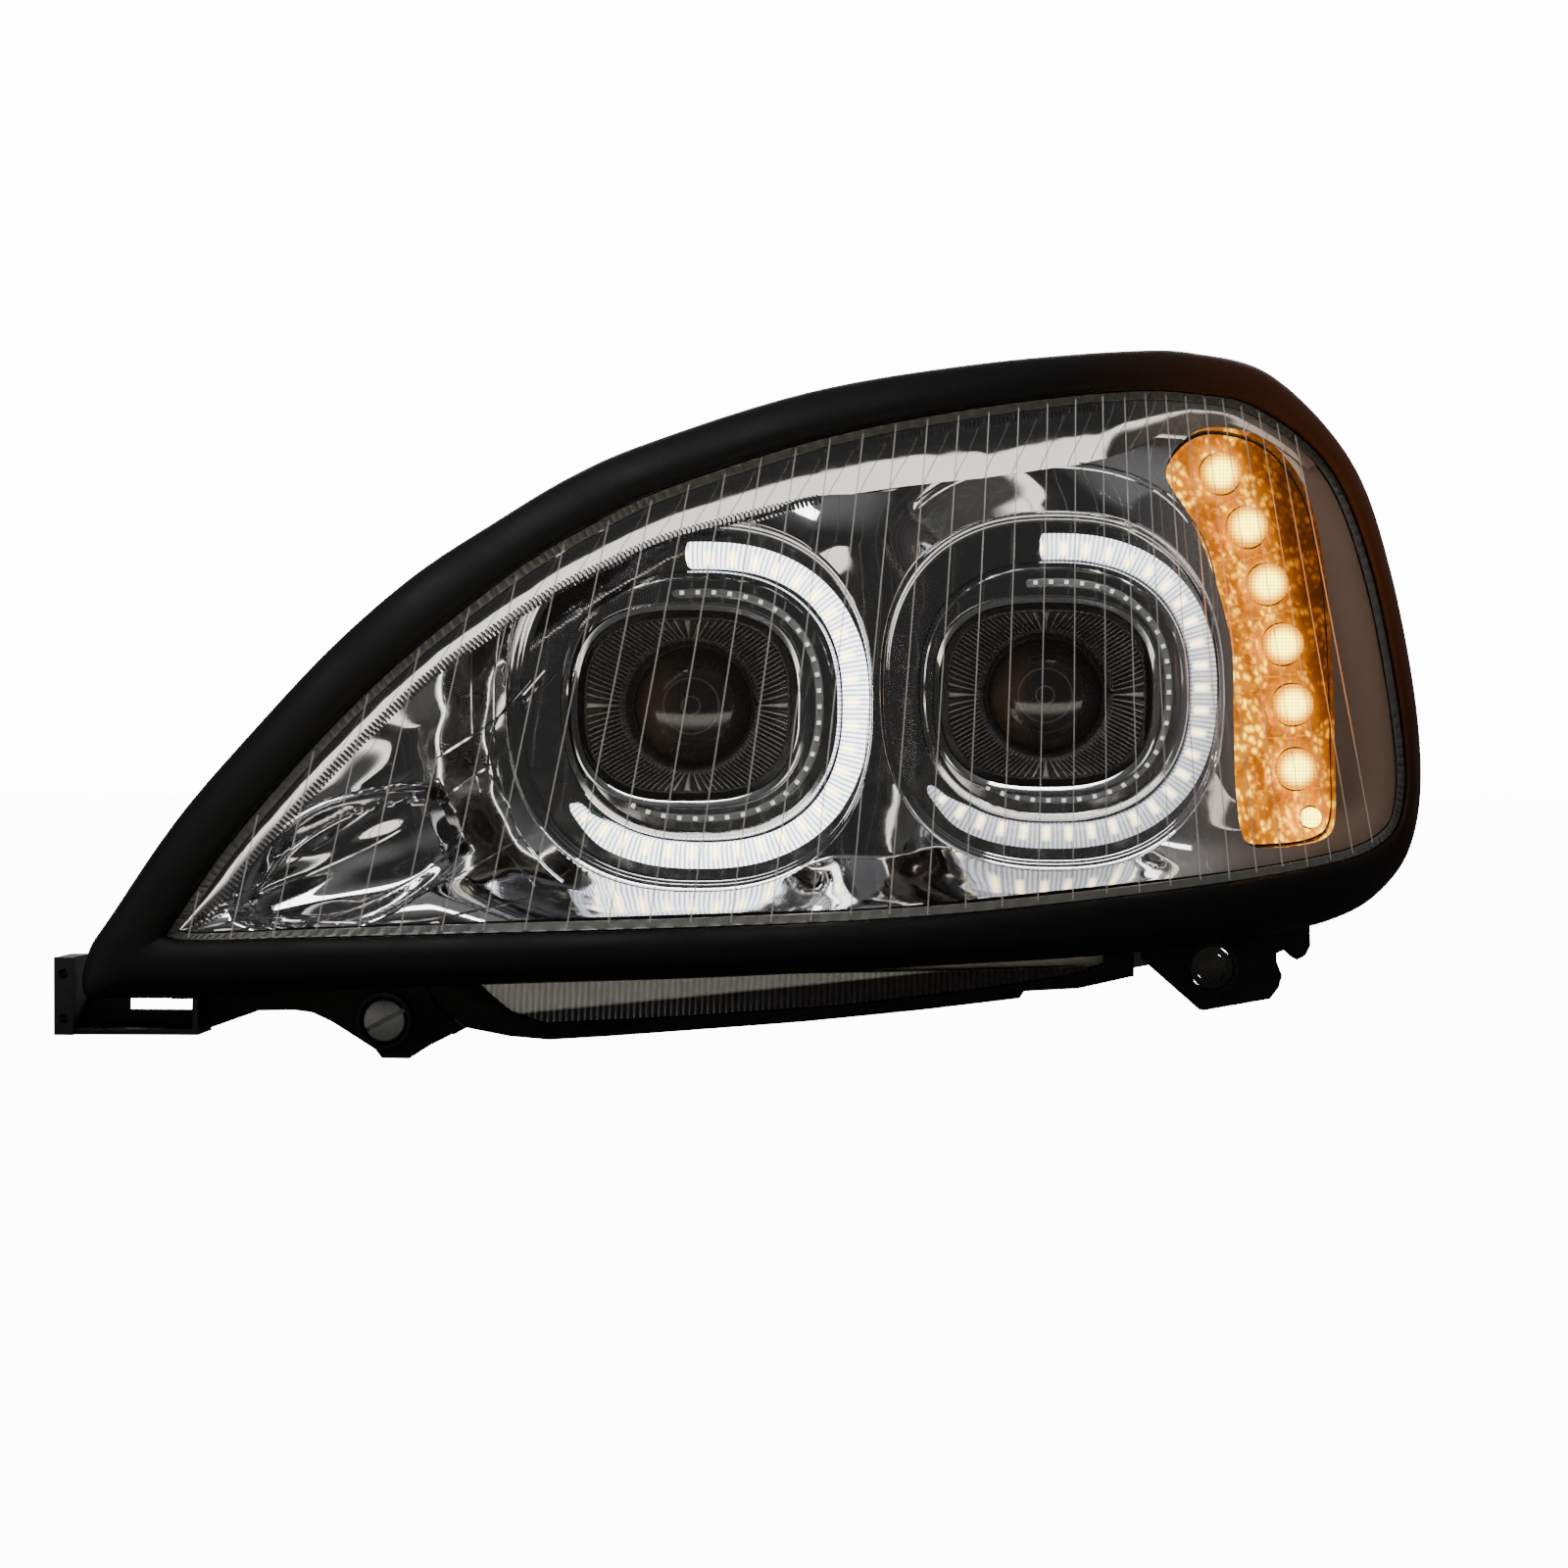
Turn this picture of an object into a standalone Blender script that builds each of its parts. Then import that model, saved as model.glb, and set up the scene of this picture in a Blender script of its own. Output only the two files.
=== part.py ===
"""Left-hand truck headlight: a swept-back lamp with two projectors, two C-shaped running lights and a turn signal.

Metres, +Z up. The lamp looks along -Y. X runs from the narrow inner end to the outer side of the vehicle.
The origin is on the rear face of the inner end pad, where the lamp is screwed to the vehicle.
"""

import math

import bmesh
import bpy
from mathutils import Matrix, Vector

# ---------------------------------------------------------------- driving dimensions

# The lens front face: its depth grows with the way out from the tip, and with the way up.
TIP = Vector((0.050, -0.030, 0.033))
SWEEP_LINEAR = 0.17
SWEEP_CURVE = 0.82
SWEEP_POWER = 3.8
LEAN = 0.15
LEAN_CURVE = 0.30

# Matched stations round the lamp, clockwise from the inner tip: the frame's outer edge,
# the edge of the clear window, and the edge of the housing's back wall, each as (x, z).
STATIONS = [
    ((0.012, 0.000), (0.053, 0.0300), (0.140, 0.020)),
    ((0.012, 0.022), (0.0525, 0.0325), (0.133, 0.045)),
    ((0.024, 0.043), (0.0590, 0.0430), (0.133, 0.062)),
    ((0.055, 0.092), (0.079, 0.074), (0.135, 0.085)),
    ((0.093, 0.1395), (0.113, 0.117), (0.141, 0.120)),
    ((0.131, 0.183), (0.147, 0.155), (0.160, 0.155)),
    ((0.170, 0.2195), (0.181, 0.187), (0.188, 0.185)),
    ((0.210, 0.248), (0.226, 0.224), (0.222, 0.212)),
    ((0.250, 0.274), (0.262, 0.247), (0.258, 0.235)),
    ((0.291, 0.2935), (0.300, 0.267), (0.297, 0.252)),
    ((0.374, 0.323), (0.381, 0.296), (0.374, 0.275)),
    ((0.459, 0.3415), (0.464, 0.316), (0.455, 0.290)),
    ((0.549, 0.355), (0.546, 0.330), (0.530, 0.298)),
    ((0.595, 0.3575), (0.590, 0.3325), (0.572, 0.299)),
    ((0.644, 0.3475), (0.633, 0.3265), (0.615, 0.292)),
    ((0.6935, 0.300), (0.678, 0.294), (0.655, 0.260)),
    ((0.718, 0.235), (0.704, 0.234), (0.676, 0.210)),
    ((0.734, 0.147), (0.721, 0.146), (0.684, 0.150)),
    ((0.7325, 0.086), (0.7215, 0.094), (0.680, 0.090)),
    ((0.712, 0.0485), (0.704, 0.070), (0.664, 0.045)),
    ((0.665, 0.026), (0.656, 0.058), (0.630, 0.010)),
    ((0.558, 0.015), (0.553, 0.0465), (0.555, -0.010)),
    ((0.440, 0.0105), (0.440, 0.0375), (0.440, -0.015)),
    ((0.328, 0.0066), (0.330, 0.0335), (0.330, -0.015)),
    ((0.200, 0.004), (0.205, 0.031), (0.230, -0.010)),
    ((0.100, 0.001), (0.120, 0.0295), (0.175, 0.000)),
    ((0.036, 0.000), (0.0680, 0.0285), (0.152, 0.008)),
]
STEPS_PER_STATION = 2

WALL = 0.003
LENS_THICKNESS = 0.003
BACK_INNER = 0.285
BACK_OUTER = 0.335
BACK_STEP = (0.425, 0.455)

# Each projector: beam axis (x, z), centre of its running light (x, z), and the depth of the light's front face.
PROJECTORS = {
    "inner": {"beam": (0.309, 0.151), "ring": (0.316, 0.151), "face": 0.105, "port": BACK_INNER},
    "outer": {"beam": (0.508, 0.158), "ring": (0.512, 0.160), "face": 0.183, "port": BACK_OUTER},
}
RING_HALF = (0.086, 0.083)
RING_POWER = 2.4
GUIDE_WIDTH = 0.014
GUIDE_DEPTH = 0.012
GUIDE_FROM = 93.0
GUIDE_TO = -143.0
HALO_HALF = (0.066, 0.0625)
HALO_FROM = 100.0
HALO_TO = -124.0
SHROUD_HALF = (0.057, 0.0485)
SHROUD_POWER = 2.8
OPENING_HALF = (0.061, 0.0525)
LENS_RADIUS = 0.0325
LENS_HOLE = 0.034

# Aiming: the ball, the lower screw that tilts the carrier, and the rear screw that turns it.
PIVOT = Vector((0.159, 0.165, 0.100))
TILT_SCREW = (PIVOT.x, -0.015)
TURN_SCREW = (0.402, PIVOT.z)
TURN_SCREW_RADIUS = 0.0035
TILT_SCREW_RADIUS = 0.004
RUNNING_GAP = 0.0004
NUT_GAP = 0.0011

# Turn signal: centres (x, z) of the round optics, from the top, then the small side marker.
SIGNAL_CENTRES = [
    (0.612, 0.2896),
    (0.628, 0.2581),
    (0.640, 0.2243),
    (0.649, 0.1888),
    (0.6545, 0.1530),
    (0.656, 0.1150),
]
MARKER_CENTRE = (0.665, 0.0865)
OPTIC_RADIUS = 0.0122
MARKER_RADIUS = 0.006
SIGNAL_DEPTH = 0.035
SIGNAL_OUTLINE = [
    (0.585, 0.303), (0.606, 0.3145), (0.640, 0.308), (0.664, 0.280), (0.675, 0.235), (0.6785, 0.180),
    (0.679, 0.120), (0.678, 0.086), (0.668, 0.074), (0.640, 0.0705), (0.6215, 0.074), (0.6155, 0.100),
    (0.6145, 0.140), (0.6145, 0.180), (0.610, 0.205), (0.601, 0.235), (0.589, 0.262), (0.577, 0.283),
]

# ---------------------------------------------------------------- scene, materials and small helpers

FINISHES = {
    "black_plastic": ((0.012, 0.012, 0.013), 0.55, 0.0),
    "black_rubber": ((0.018, 0.018, 0.018), 0.75, 0.0),
    "clear_plastic": ((0.80, 0.82, 0.84), 0.05, 0.0),
    "chrome": ((0.75, 0.75, 0.76), 0.06, 1.0),
    "smoked_chrome": ((0.10, 0.10, 0.11), 0.20, 1.0),
    "white_guide": ((0.85, 0.86, 0.88), 0.20, 0.0),
    "amber_plastic": ((0.90, 0.35, 0.03), 0.15, 0.0),
    "white_reflector": ((0.70, 0.71, 0.70), 0.35, 0.0),
    "circuit_board": ((0.03, 0.10, 0.05), 0.50, 0.0),
    "steel": ((0.45, 0.45, 0.46), 0.35, 1.0),
    "aluminium": ((0.55, 0.56, 0.57), 0.40, 1.0),
    "glass": ((0.75, 0.78, 0.80), 0.02, 0.0),
    "gold_contact": ((0.70, 0.50, 0.15), 0.25, 1.0),
}


def clear_scene():
    for old in list(bpy.data.objects):
        bpy.data.objects.remove(old)


def make_collection(name):
    made = bpy.data.collections.new(name)
    bpy.context.scene.collection.children.link(made)
    return made


def finish(name):
    found = bpy.data.materials.get(name)
    if found:
        return found
    colour, roughness, metallic = FINISHES[name]
    made = bpy.data.materials.new(name)
    made.use_nodes = True
    shader = made.node_tree.nodes["Principled BSDF"]
    shader.inputs["Base Color"].default_value = (*colour, 1.0)
    shader.inputs["Roughness"].default_value = roughness
    shader.inputs["Metallic"].default_value = metallic
    made.diffuse_color = (*colour, 1.0)
    return made


clear_scene()
PARTS = make_collection("truck_headlight")
TOOLS = make_collection("cutters")


def add_object(name, mesh, material=None):
    """A new object for this mesh: a part with a finish, or a helper without one."""
    made = bpy.data.objects.new(name, mesh)
    (PARTS if material else TOOLS).objects.link(made)
    if material:
        mesh.materials.clear()
        mesh.materials.append(finish(material))
    else:
        made.hide_render = True
        made.display_type = "WIRE"
    return made


def mesh_from(bm, name):
    bmesh.ops.recalc_face_normals(bm, faces=bm.faces[:])
    mesh = bpy.data.meshes.new(name)
    bm.to_mesh(mesh)
    bm.free()
    return mesh


def evaluated_mesh(obj):
    bpy.context.view_layer.update()
    graph = bpy.context.evaluated_depsgraph_get()
    mesh = bpy.data.meshes.new_from_object(obj.evaluated_get(graph))
    mesh.transform(obj.matrix_world)
    return mesh


def boolean(target, tools, operation):
    """Cuts each tool from the target or joins it on, keeps the result as the target's mesh, and removes the tools."""
    for tool in tools:
        modifier = target.modifiers.new(operation.lower(), "BOOLEAN")
        modifier.operation = operation
        modifier.solver = "EXACT"
        modifier.object = tool
    kept = [material for material in target.data.materials]
    mesh = evaluated_mesh(target)
    mesh.transform(target.matrix_world.inverted())
    target.modifiers.clear()
    target.data = mesh
    mesh.materials.clear()
    for material in kept:
        mesh.materials.append(material)
    for tool in tools:
        bpy.data.objects.remove(tool)
    return target


def cut(target, *tools):
    return boolean(target, tools, "DIFFERENCE")


def join(target, *tools):
    return boolean(target, tools, "UNION")


def smooth(obj, degrees=35.0):
    obj.data.shade_smooth()
    obj.data.set_sharp_from_angle(angle=math.radians(degrees))
    return obj


# ---------------------------------------------------------------- the swept shape of the lamp's front


def lens_depth(x, z):
    """Depth of the lens front face at (x, z)."""
    out = x - TIP.x
    up = z - TIP.z
    sweep = SWEEP_LINEAR * out + SWEEP_CURVE * max(out, 0.0) ** SWEEP_POWER
    lean = LEAN * up + LEAN_CURVE * up * abs(up)
    return TIP.y + sweep + lean


def closed_spline(points, steps):
    """A closed Catmull-Rom spline through 2-D points, with that many steps from each point to the next."""
    count = len(points)
    made = []
    for i in range(count):
        a, b, c, d = (Vector(points[(i + k) % count]) for k in (-1, 0, 1, 2))
        for step in range(steps):
            t = step / steps
            made.append(
                0.5 * (2 * b + (c - a) * t + (2 * a - 5 * b + 4 * c - d) * t**2 + (3 * b - a - 3 * c + d) * t**3)
            )
    return made


OUTER_EDGE = closed_spline([s[0] for s in STATIONS], STEPS_PER_STATION)
WINDOW_EDGE = closed_spline([s[1] for s in STATIONS], STEPS_PER_STATION)
BACK_EDGE = closed_spline([s[2] for s in STATIONS], STEPS_PER_STATION)


def edge_line(share, offset):
    """(x, z) all round the lamp: share runs from the window's edge, 0, to the frame's outer edge, 1, plus an offset."""
    made = []
    for inner, outer in zip(WINDOW_EDGE, OUTER_EDGE):
        across = outer - inner
        made.append(inner + across * share + across.normalized() * offset)
    return made


def rim(share, offset, depth):
    """A ring of 3-D points on that line, at a depth behind the lens front face."""
    return [Vector((p.x, lens_depth(p.x, p.y) + depth, p.y)) for p in edge_line(share, offset)]


def back_depth(x):
    """The housing's back wall is flat at two depths, with a straight step between them."""
    start, end = BACK_STEP
    share = min(1.0, max(0.0, (x - start) / (end - start)))
    return BACK_INNER + (BACK_OUTER - BACK_INNER) * share


def inset(points, distance):
    """A closed outline moved inwards by a distance, corner by corner."""
    area = sum(a[0] * b[1] - b[0] * a[1] for a, b in zip(points, points[1:] + points[:1]))
    side = 1.0 if area > 0 else -1.0
    made = []
    for before, here, after in zip(points[-1:] + points[:-1], points, points[1:] + points[:1]):
        along = (Vector(here) - Vector(before)).normalized() + (Vector(after) - Vector(here)).normalized()
        along.normalize()
        made.append(Vector(here) + Vector((-along.y, along.x)) * side * distance)
    return made


def squircle(centre, half, power, count, depth, start=0.0, end=360.0):
    """Points on a superellipse facing -Y. depth is a number, or a function of (x, z). A full turn is left open."""
    whole = abs(end - start) >= 360.0
    made = []
    for i in range(count):
        angle = math.radians(start + (end - start) * i / (count if whole else count - 1))
        c, s = math.cos(angle), math.sin(angle)
        x = centre[0] + half[0] * math.copysign(abs(c) ** (2 / power), c)
        z = centre[1] + half[1] * math.copysign(abs(s) ** (2 / power), s)
        made.append(Vector((x, depth(x, z) if callable(depth) else depth, z)))
    return made


# ---------------------------------------------------------------- builders of solids


def loft(name, rings, material=None, profile_closed=False, rings_closed=True, cap=True):
    """Skins a row of matched rings. profile_closed joins the last ring to the first, as a frame's section does."""
    bm = bmesh.new()
    rows = [[bm.verts.new(p) for p in ring] for ring in rings]
    count = len(rows[0])
    pairs = list(zip(rows, rows[1:])) + ([(rows[-1], rows[0])] if profile_closed else [])
    for a, b in pairs:
        for i in range(count if rings_closed else count - 1):
            j = (i + 1) % count
            bm.faces.new((a[i], a[j], b[j], b[i]))
    if not rings_closed and profile_closed:
        bm.faces.new([row[0] for row in rows])
        bm.faces.new([row[-1] for row in reversed(rows)])
    elif not profile_closed and cap:
        bm.faces.new(rows[0])
        bm.faces.new(rows[-1])
    return smooth(add_object(name, mesh_from(bm, name), material))


GRID_X = 0.050
GRID_Z = 0.065


def bend_to_lens(bm):
    """Cuts flat plates into a coarse grid, then moves every point back by the depth of the lens there."""
    for axis, step, last in ((0, GRID_X, 0.74), (2, GRID_Z, 0.36)):
        for i in range(1, int(last / step) + 1):
            normal = Vector((1, 0, 0)) if axis == 0 else Vector((0, 0, 1))
            everything = bm.verts[:] + bm.edges[:] + bm.faces[:]
            bmesh.ops.bisect_plane(bm, geom=everything, dist=1e-6, plane_co=normal * (i * step), plane_no=normal)
    for vertex in bm.verts:
        vertex.co.y += lens_depth(vertex.co.x, vertex.co.z)


def plate(name, outline, depths, material=None, holes=(), swept=False):
    """A flat outline of (x, z) points with a thickness along Y, bent to the lens's shape if swept."""
    curve = bpy.data.curves.new(name, "CURVE")
    curve.dimensions = "2D"
    curve.fill_mode = "BOTH"
    curve.extrude = (depths[1] - depths[0]) / 2
    for loop in (outline, *holes):
        spline = curve.splines.new("POLY")
        spline.points.add(len(loop) - 1)
        for point, place in zip(spline.points, loop):
            point.co = (place[0], place[1], 0.0, 1.0)
        spline.use_cyclic_u = True
    flat = add_object(name + "_outline", curve)
    mesh = evaluated_mesh(flat)
    bpy.data.objects.remove(flat)
    mesh.transform(Matrix.Translation((0, sum(depths) / 2, 0)) @ Matrix.Rotation(math.pi / 2, 4, "X"))
    bm = bmesh.new()
    bm.from_mesh(mesh)
    bmesh.ops.remove_doubles(bm, verts=bm.verts[:], dist=1e-6)
    bmesh.ops.dissolve_limit(bm, angle_limit=math.radians(0.5), verts=bm.verts[:], edges=bm.edges[:])
    if swept:
        bend_to_lens(bm)
    return add_object(name, mesh_from(bm, name), material)


def block(name, x, y, z, material=None):
    """A box between two values on each axis."""
    bm = bmesh.new()
    bmesh.ops.create_cube(bm, size=1.0)
    size = Vector((x[1] - x[0], y[1] - y[0], z[1] - z[0]))
    middle = Vector((sum(x) / 2, sum(y) / 2, sum(z) / 2))
    bmesh.ops.transform(bm, matrix=Matrix.Translation(middle) @ Matrix.Diagonal((*size, 1.0)), verts=bm.verts[:])
    return add_object(name, mesh_from(bm, name), material)


def rod(name, centre, radius, y, material=None, sides=24):
    """A cylinder along Y round (x, z) = centre."""
    bm = bmesh.new()
    bmesh.ops.create_cone(bm, cap_ends=True, segments=sides, radius1=radius, radius2=radius, depth=y[1] - y[0])
    place = Matrix.Translation((centre[0], sum(y) / 2, centre[1])) @ Matrix.Rotation(math.pi / 2, 4, "X")
    bmesh.ops.transform(bm, matrix=place, verts=bm.verts[:])
    return smooth(add_object(name, mesh_from(bm, name), material))


def turned(name, centre, profile, material=None, steps=20, closed=False):
    """A body turned round a Y axis through (x, z) = centre, from (radius, y) points that run down its outer side."""
    mesh = bpy.data.meshes.new(name)
    count = len(profile)
    edges = [(i, i + 1) for i in range(count - 1)] + ([(count - 1, 0)] if closed else [])
    mesh.from_pydata([(r, 0.0, y) for r, y in profile], edges, [])
    made = add_object(name, mesh, material)
    made.location = (centre[0], 0.0, centre[1])
    made.rotation_euler = (-math.pi / 2, 0.0, 0.0)
    screw = made.modifiers.new("turn", "SCREW")
    screw.steps = steps
    screw.render_steps = steps
    screw.use_merge_vertices = True
    screw.merge_threshold = 1e-5
    place = made.matrix_basis.copy()
    made.matrix_basis.identity()
    mesh = evaluated_mesh(made)
    bpy.data.objects.remove(made)
    bm = bmesh.new()
    bm.from_mesh(mesh)
    bmesh.ops.dissolve_degenerate(bm, dist=1e-6, edges=bm.edges[:])
    made = add_object(name, mesh_from(bm, name), material)
    made.matrix_basis = place
    return smooth(made)


def set_origin(obj, place):
    """Moves an object's origin to a point on the axis it moves about, and leaves its shape where it is."""
    bpy.context.view_layer.update()
    mesh = obj.data
    mesh.transform(obj.matrix_world)
    mesh.transform(Matrix.Translation(-Vector(place)))
    obj.matrix_world = Matrix.Translation(place)


# ---------------------------------------------------------------- housing, lens, frame and seal

FRAME_LIP = 0.0015
FRAME_CREST = 0.008
FRAME_SKIRT = 0.026
SEAL_FRONT = 0.0043
SEAL_BACK = 0.0072
FLANGE_FRONT = 0.0080
WALL_INSET = -0.006


def back_ring():
    return [Vector((p.x, back_depth(p.x), p.y)) for p in BACK_EDGE]


def between(a, b, share):
    return [p.lerp(q, share) for p, q in zip(a, b)]


def housing_rings(gap=0.0):
    """The housing's outer rings from the flange's corner to the back wall, grown by a gap."""
    corner = rim(1.0, WALL_INSET + gap, 0.020)
    back = [p + Vector((0.0, gap, -gap if p.z < 0.1 else gap)) for p in back_ring()]
    return [corner, between(corner, back, 0.35), between(corner, back, 0.7), back]


def housing_envelope(name, gap):
    """The housing's outer shape, grown by a gap and carried forwards, which trims the pieces welded on under it."""
    return loft(name, [rim(1.0, WALL_INSET + gap, -0.030), *housing_rings(gap)])


def make_housing():
    flange = rim(1.0, WALL_INSET, FLANGE_FRONT)
    bm = bmesh.new()
    rings = [rim(0.0, 0.0008, FLANGE_FRONT), flange, *housing_rings()]
    rows = [[bm.verts.new(p) for p in ring] for ring in rings]
    for a, b in zip(rows, rows[1:]):
        for i in range(len(a)):
            j = (i + 1) % len(a)
            bm.faces.new((a[i], a[j], b[j], b[i]))
    bm.faces.new(rows[-1]).material_index = 1
    for x in BACK_STEP:
        back = [face for face in bm.faces if face.material_index == 1]
        geometry = back + [e for f in back for e in f.edges] + [v for f in back for v in f.verts]
        bmesh.ops.bisect_plane(bm, geom=list(set(geometry)), dist=1e-6, plane_co=(x, 0, 0), plane_no=(1, 0, 0))
    for face in bm.faces:
        if face.material_index == 1:
            face.material_index = 0
            for vertex in face.verts:
                vertex.co.y = back_depth(vertex.co.x)
    housing = add_object("housing", mesh_from(bm, "housing"), "black_plastic")
    if sum(f.normal.y for f in housing.data.polygons if len(f.vertices) > 8) < 0:
        housing.data.flip_normals()
    shell = housing.modifiers.new("wall", "SOLIDIFY")
    shell.thickness = WALL
    shell.offset = -1.0
    shell.use_even_offset = True
    housing.data = evaluated_mesh(housing)
    housing.modifiers.clear()
    x, z = TILT_SCREW
    pod = block("pod", (x - 0.0175, x + 0.0175), (0.130, 0.200), (z - 0.018, 0.020))
    join(housing, pod)
    hollow = block("hollow", (x - 0.0145, x + 0.0145), (0.133, 0.197), (z - 0.015, 0.030))
    screw_hole = rod("screw_hole", TILT_SCREW, TILT_SCREW_RADIUS + RUNNING_GAP, (0.120, 0.140))
    knob_hole = rod("knob_hole", TURN_SCREW, TURN_SCREW_RADIUS + RUNNING_GAP, (0.270, 0.300))
    cut(housing, hollow, screw_hole, knob_hole)
    for side, unit in PROJECTORS.items():
        wall, beam = unit["port"], unit["beam"]
        join(housing, rod("collar", beam, COLLAR_OUTER, (wall - 0.010, wall + 0.015), sides=32))
        cut(housing, rod("port", beam, COLLAR_INNER, (wall - 0.020, wall + 0.020), sides=32))
    return smooth(housing)


def make_lens_group():
    frame_section = [
        (0.0, 0.0, -0.003), (0.35, 0.0, -FRAME_CREST), (0.8, 0.0, -0.004), (1.0, 0.0, 0.008),
        (1.0, 0.0, FRAME_SKIRT), (1.0, -0.0025, FRAME_SKIRT), (1.0, -0.0025, 0.010),
        (0.8, -0.001, -FRAME_LIP), (0.0, 0.0, -FRAME_LIP),
    ]
    loft("perimeter_frame", [rim(*point) for point in frame_section], "black_rubber", profile_closed=True)
    smooth(plate("outer_lens", edge_line(0.0, 0.0055), (0.0, LENS_THICKNESS), "clear_plastic", swept=True))
    seal_section = [(0.0, 0.0012, SEAL_FRONT), (0.0, 0.0052, SEAL_FRONT), (0.0, 0.0052, SEAL_BACK), (0.0, 0.0012, SEAL_BACK)]
    loft("lens_seal", [rim(*point) for point in seal_section], "black_rubber", profile_closed=True)


# ---------------------------------------------------------------- chrome bezel and the cups of the running lights

BEZEL_DEPTH = 0.024
BEZEL_THICKNESS = 0.0025
CUP_WALL = 0.002
CUP_MARGIN = 0.001
FLOOR_BEHIND_FACE = 0.0146
FLOOR_THICKNESS = 0.0025
CUP_POINTS = 32


def grown(half, by):
    return (half[0] + by, half[1] + by)


def cup_half():
    return grown(RING_HALF, GUIDE_WIDTH / 2 + CUP_MARGIN)


def make_bezel():
    ring_section = [(0.0, -0.0015, 0.005), (0.0, -0.009, 0.022), (0.0, -0.011, 0.022), (0.0, -0.0035, 0.005)]
    loft("trim_ring", [rim(*point) for point in ring_section], "chrome", profile_closed=True)
    hole_half = grown(cup_half(), CUP_WALL + 0.0012)
    holes = []
    for unit in PROJECTORS.values():
        ring = squircle(unit["ring"], hole_half, RING_POWER, CUP_POINTS, 0.0)
        holes.append([(p.x, p.z) for p in ring])
    holes.append(SIGNAL_OUTLINE)
    depths = (BEZEL_DEPTH, BEZEL_DEPTH + BEZEL_THICKNESS)
    smooth(plate("main_bezel", edge_line(0.0, -0.0115), depths, "chrome", holes=holes, swept=True))


def make_cup(side, unit):
    """The chrome cup behind one running light: a wall back from the bezel, and a floor with the projector's opening."""
    floor = unit["face"] + FLOOR_BEHIND_FACE
    back = floor + FLOOR_THICKNESS

    def front(x, z):
        return min(lens_depth(x, z) + BEZEL_DEPTH - 0.002, floor - 0.004)

    outside = grown(cup_half(), CUP_WALL)
    rings = [
        squircle(unit["ring"], outside, RING_POWER, CUP_POINTS, front),
        squircle(unit["ring"], outside, RING_POWER, CUP_POINTS, back),
        squircle(unit["beam"], OPENING_HALF, SHROUD_POWER, CUP_POINTS, back),
        squircle(unit["beam"], OPENING_HALF, SHROUD_POWER, CUP_POINTS, floor),
        squircle(unit["ring"], cup_half(), RING_POWER, CUP_POINTS, floor),
        squircle(unit["ring"], cup_half(), RING_POWER, CUP_POINTS, front),
    ]
    loft("cup_" + side, rings, "chrome", profile_closed=True)


def arc_band(name, unit, half, section, span, material, count, taper=0.0):
    """A band along part of a squircle. section is a closed list of (offset outwards, depth behind the face)."""
    line = squircle(unit["ring"], half, RING_POWER, count, unit["face"], *span)
    rings = []
    for offset, depth in section:
        ring = []
        for i, point in enumerate(line):
            ahead = line[min(i + 1, count - 1)] - line[max(i - 1, 0)]
            outwards = Vector((-ahead.z, 0.0, ahead.x)).normalized()
            share = i / (count - 1)
            width = 1.0 - taper * max(0.0, (share - 0.88) / 0.12)
            ring.append(point + outwards * offset * width + Vector((0.0, depth, 0.0)))
        rings.append(ring)
    return loft(name, rings, material, profile_closed=True, rings_closed=False)


def make_running_light(side, unit):
    w = GUIDE_WIDTH / 2
    guide = [(-w, GUIDE_DEPTH), (-w, 0.003), (-w + 0.003, 0.0), (w - 0.003, 0.0), (w, 0.003), (w, GUIDE_DEPTH)]
    arc_band("drl_guide_" + side, unit, RING_HALF, guide, (GUIDE_FROM, GUIDE_TO), "white_guide", 28, taper=0.7)
    board = [(-w + 0.001, 0.0140), (-w + 0.001, 0.0124), (w - 0.001, 0.0124), (w - 0.001, 0.0140)]
    arc_band("drl_board_" + side, unit, RING_HALF, board, (GUIDE_FROM - 2, GUIDE_TO + 8), "circuit_board", 24)
    halo = [(-0.00225, 0.0135), (-0.00225, 0.007), (0.00225, 0.007), (0.00225, 0.0135)]
    arc_band("halo_ring_" + side, unit, HALO_HALF, halo, (HALO_FROM, HALO_TO), "white_guide", 24)


# ---------------------------------------------------------------- turn signal


def make_signal():
    """Round optics on one moulded strip, in the holes of a chrome plate, with an LED board behind and a window in front."""
    spots = [(c, OPTIC_RADIUS) for c in SIGNAL_CENTRES] + [(MARKER_CENTRE, MARKER_RADIUS)]
    chain = [Vector(c) for c, _ in spots]
    strip = [p + Vector((0.005, 0.0)) for p in chain] + [p - Vector((0.005, 0.0)) for p in reversed(chain)]
    optics = plate("signal_optics", strip, (SIGNAL_DEPTH + 0.0075, SIGNAL_DEPTH + 0.0095), "amber_plastic", swept=True)
    discs = []
    chips = []
    holes = []
    for (x, z), radius in spots:
        face = lens_depth(x, z) + SIGNAL_DEPTH
        discs.append(rod("optic", (x, z), radius, (face, face + 0.009), sides=16))
        chips.append(block("chip", (x - 0.002, x + 0.002), (face + 0.020, face + 0.0255), (z - 0.002, z + 0.002)))
        holes.append([(p.x, p.z) for p in squircle((x, z), (radius + 0.001, radius + 0.001), 2.0, 16, 0.0)])
    smooth(join(optics, *discs))
    depths = (SIGNAL_DEPTH + 0.0125, SIGNAL_DEPTH + 0.0145)
    plate("signal_reflector", inset(SIGNAL_OUTLINE, 0.0015), depths, "chrome", holes=holes, swept=True)
    depths = (SIGNAL_DEPTH + 0.0240, SIGNAL_DEPTH + 0.0256)
    join(plate("signal_board", inset(SIGNAL_OUTLINE, 0.006), depths, "circuit_board", swept=True), *chips)
    smooth(plate("signal_window", inset(SIGNAL_OUTLINE, 0.003), (0.011, 0.0125), "clear_plastic", swept=True))


# ---------------------------------------------------------------- lower fluted window

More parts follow.
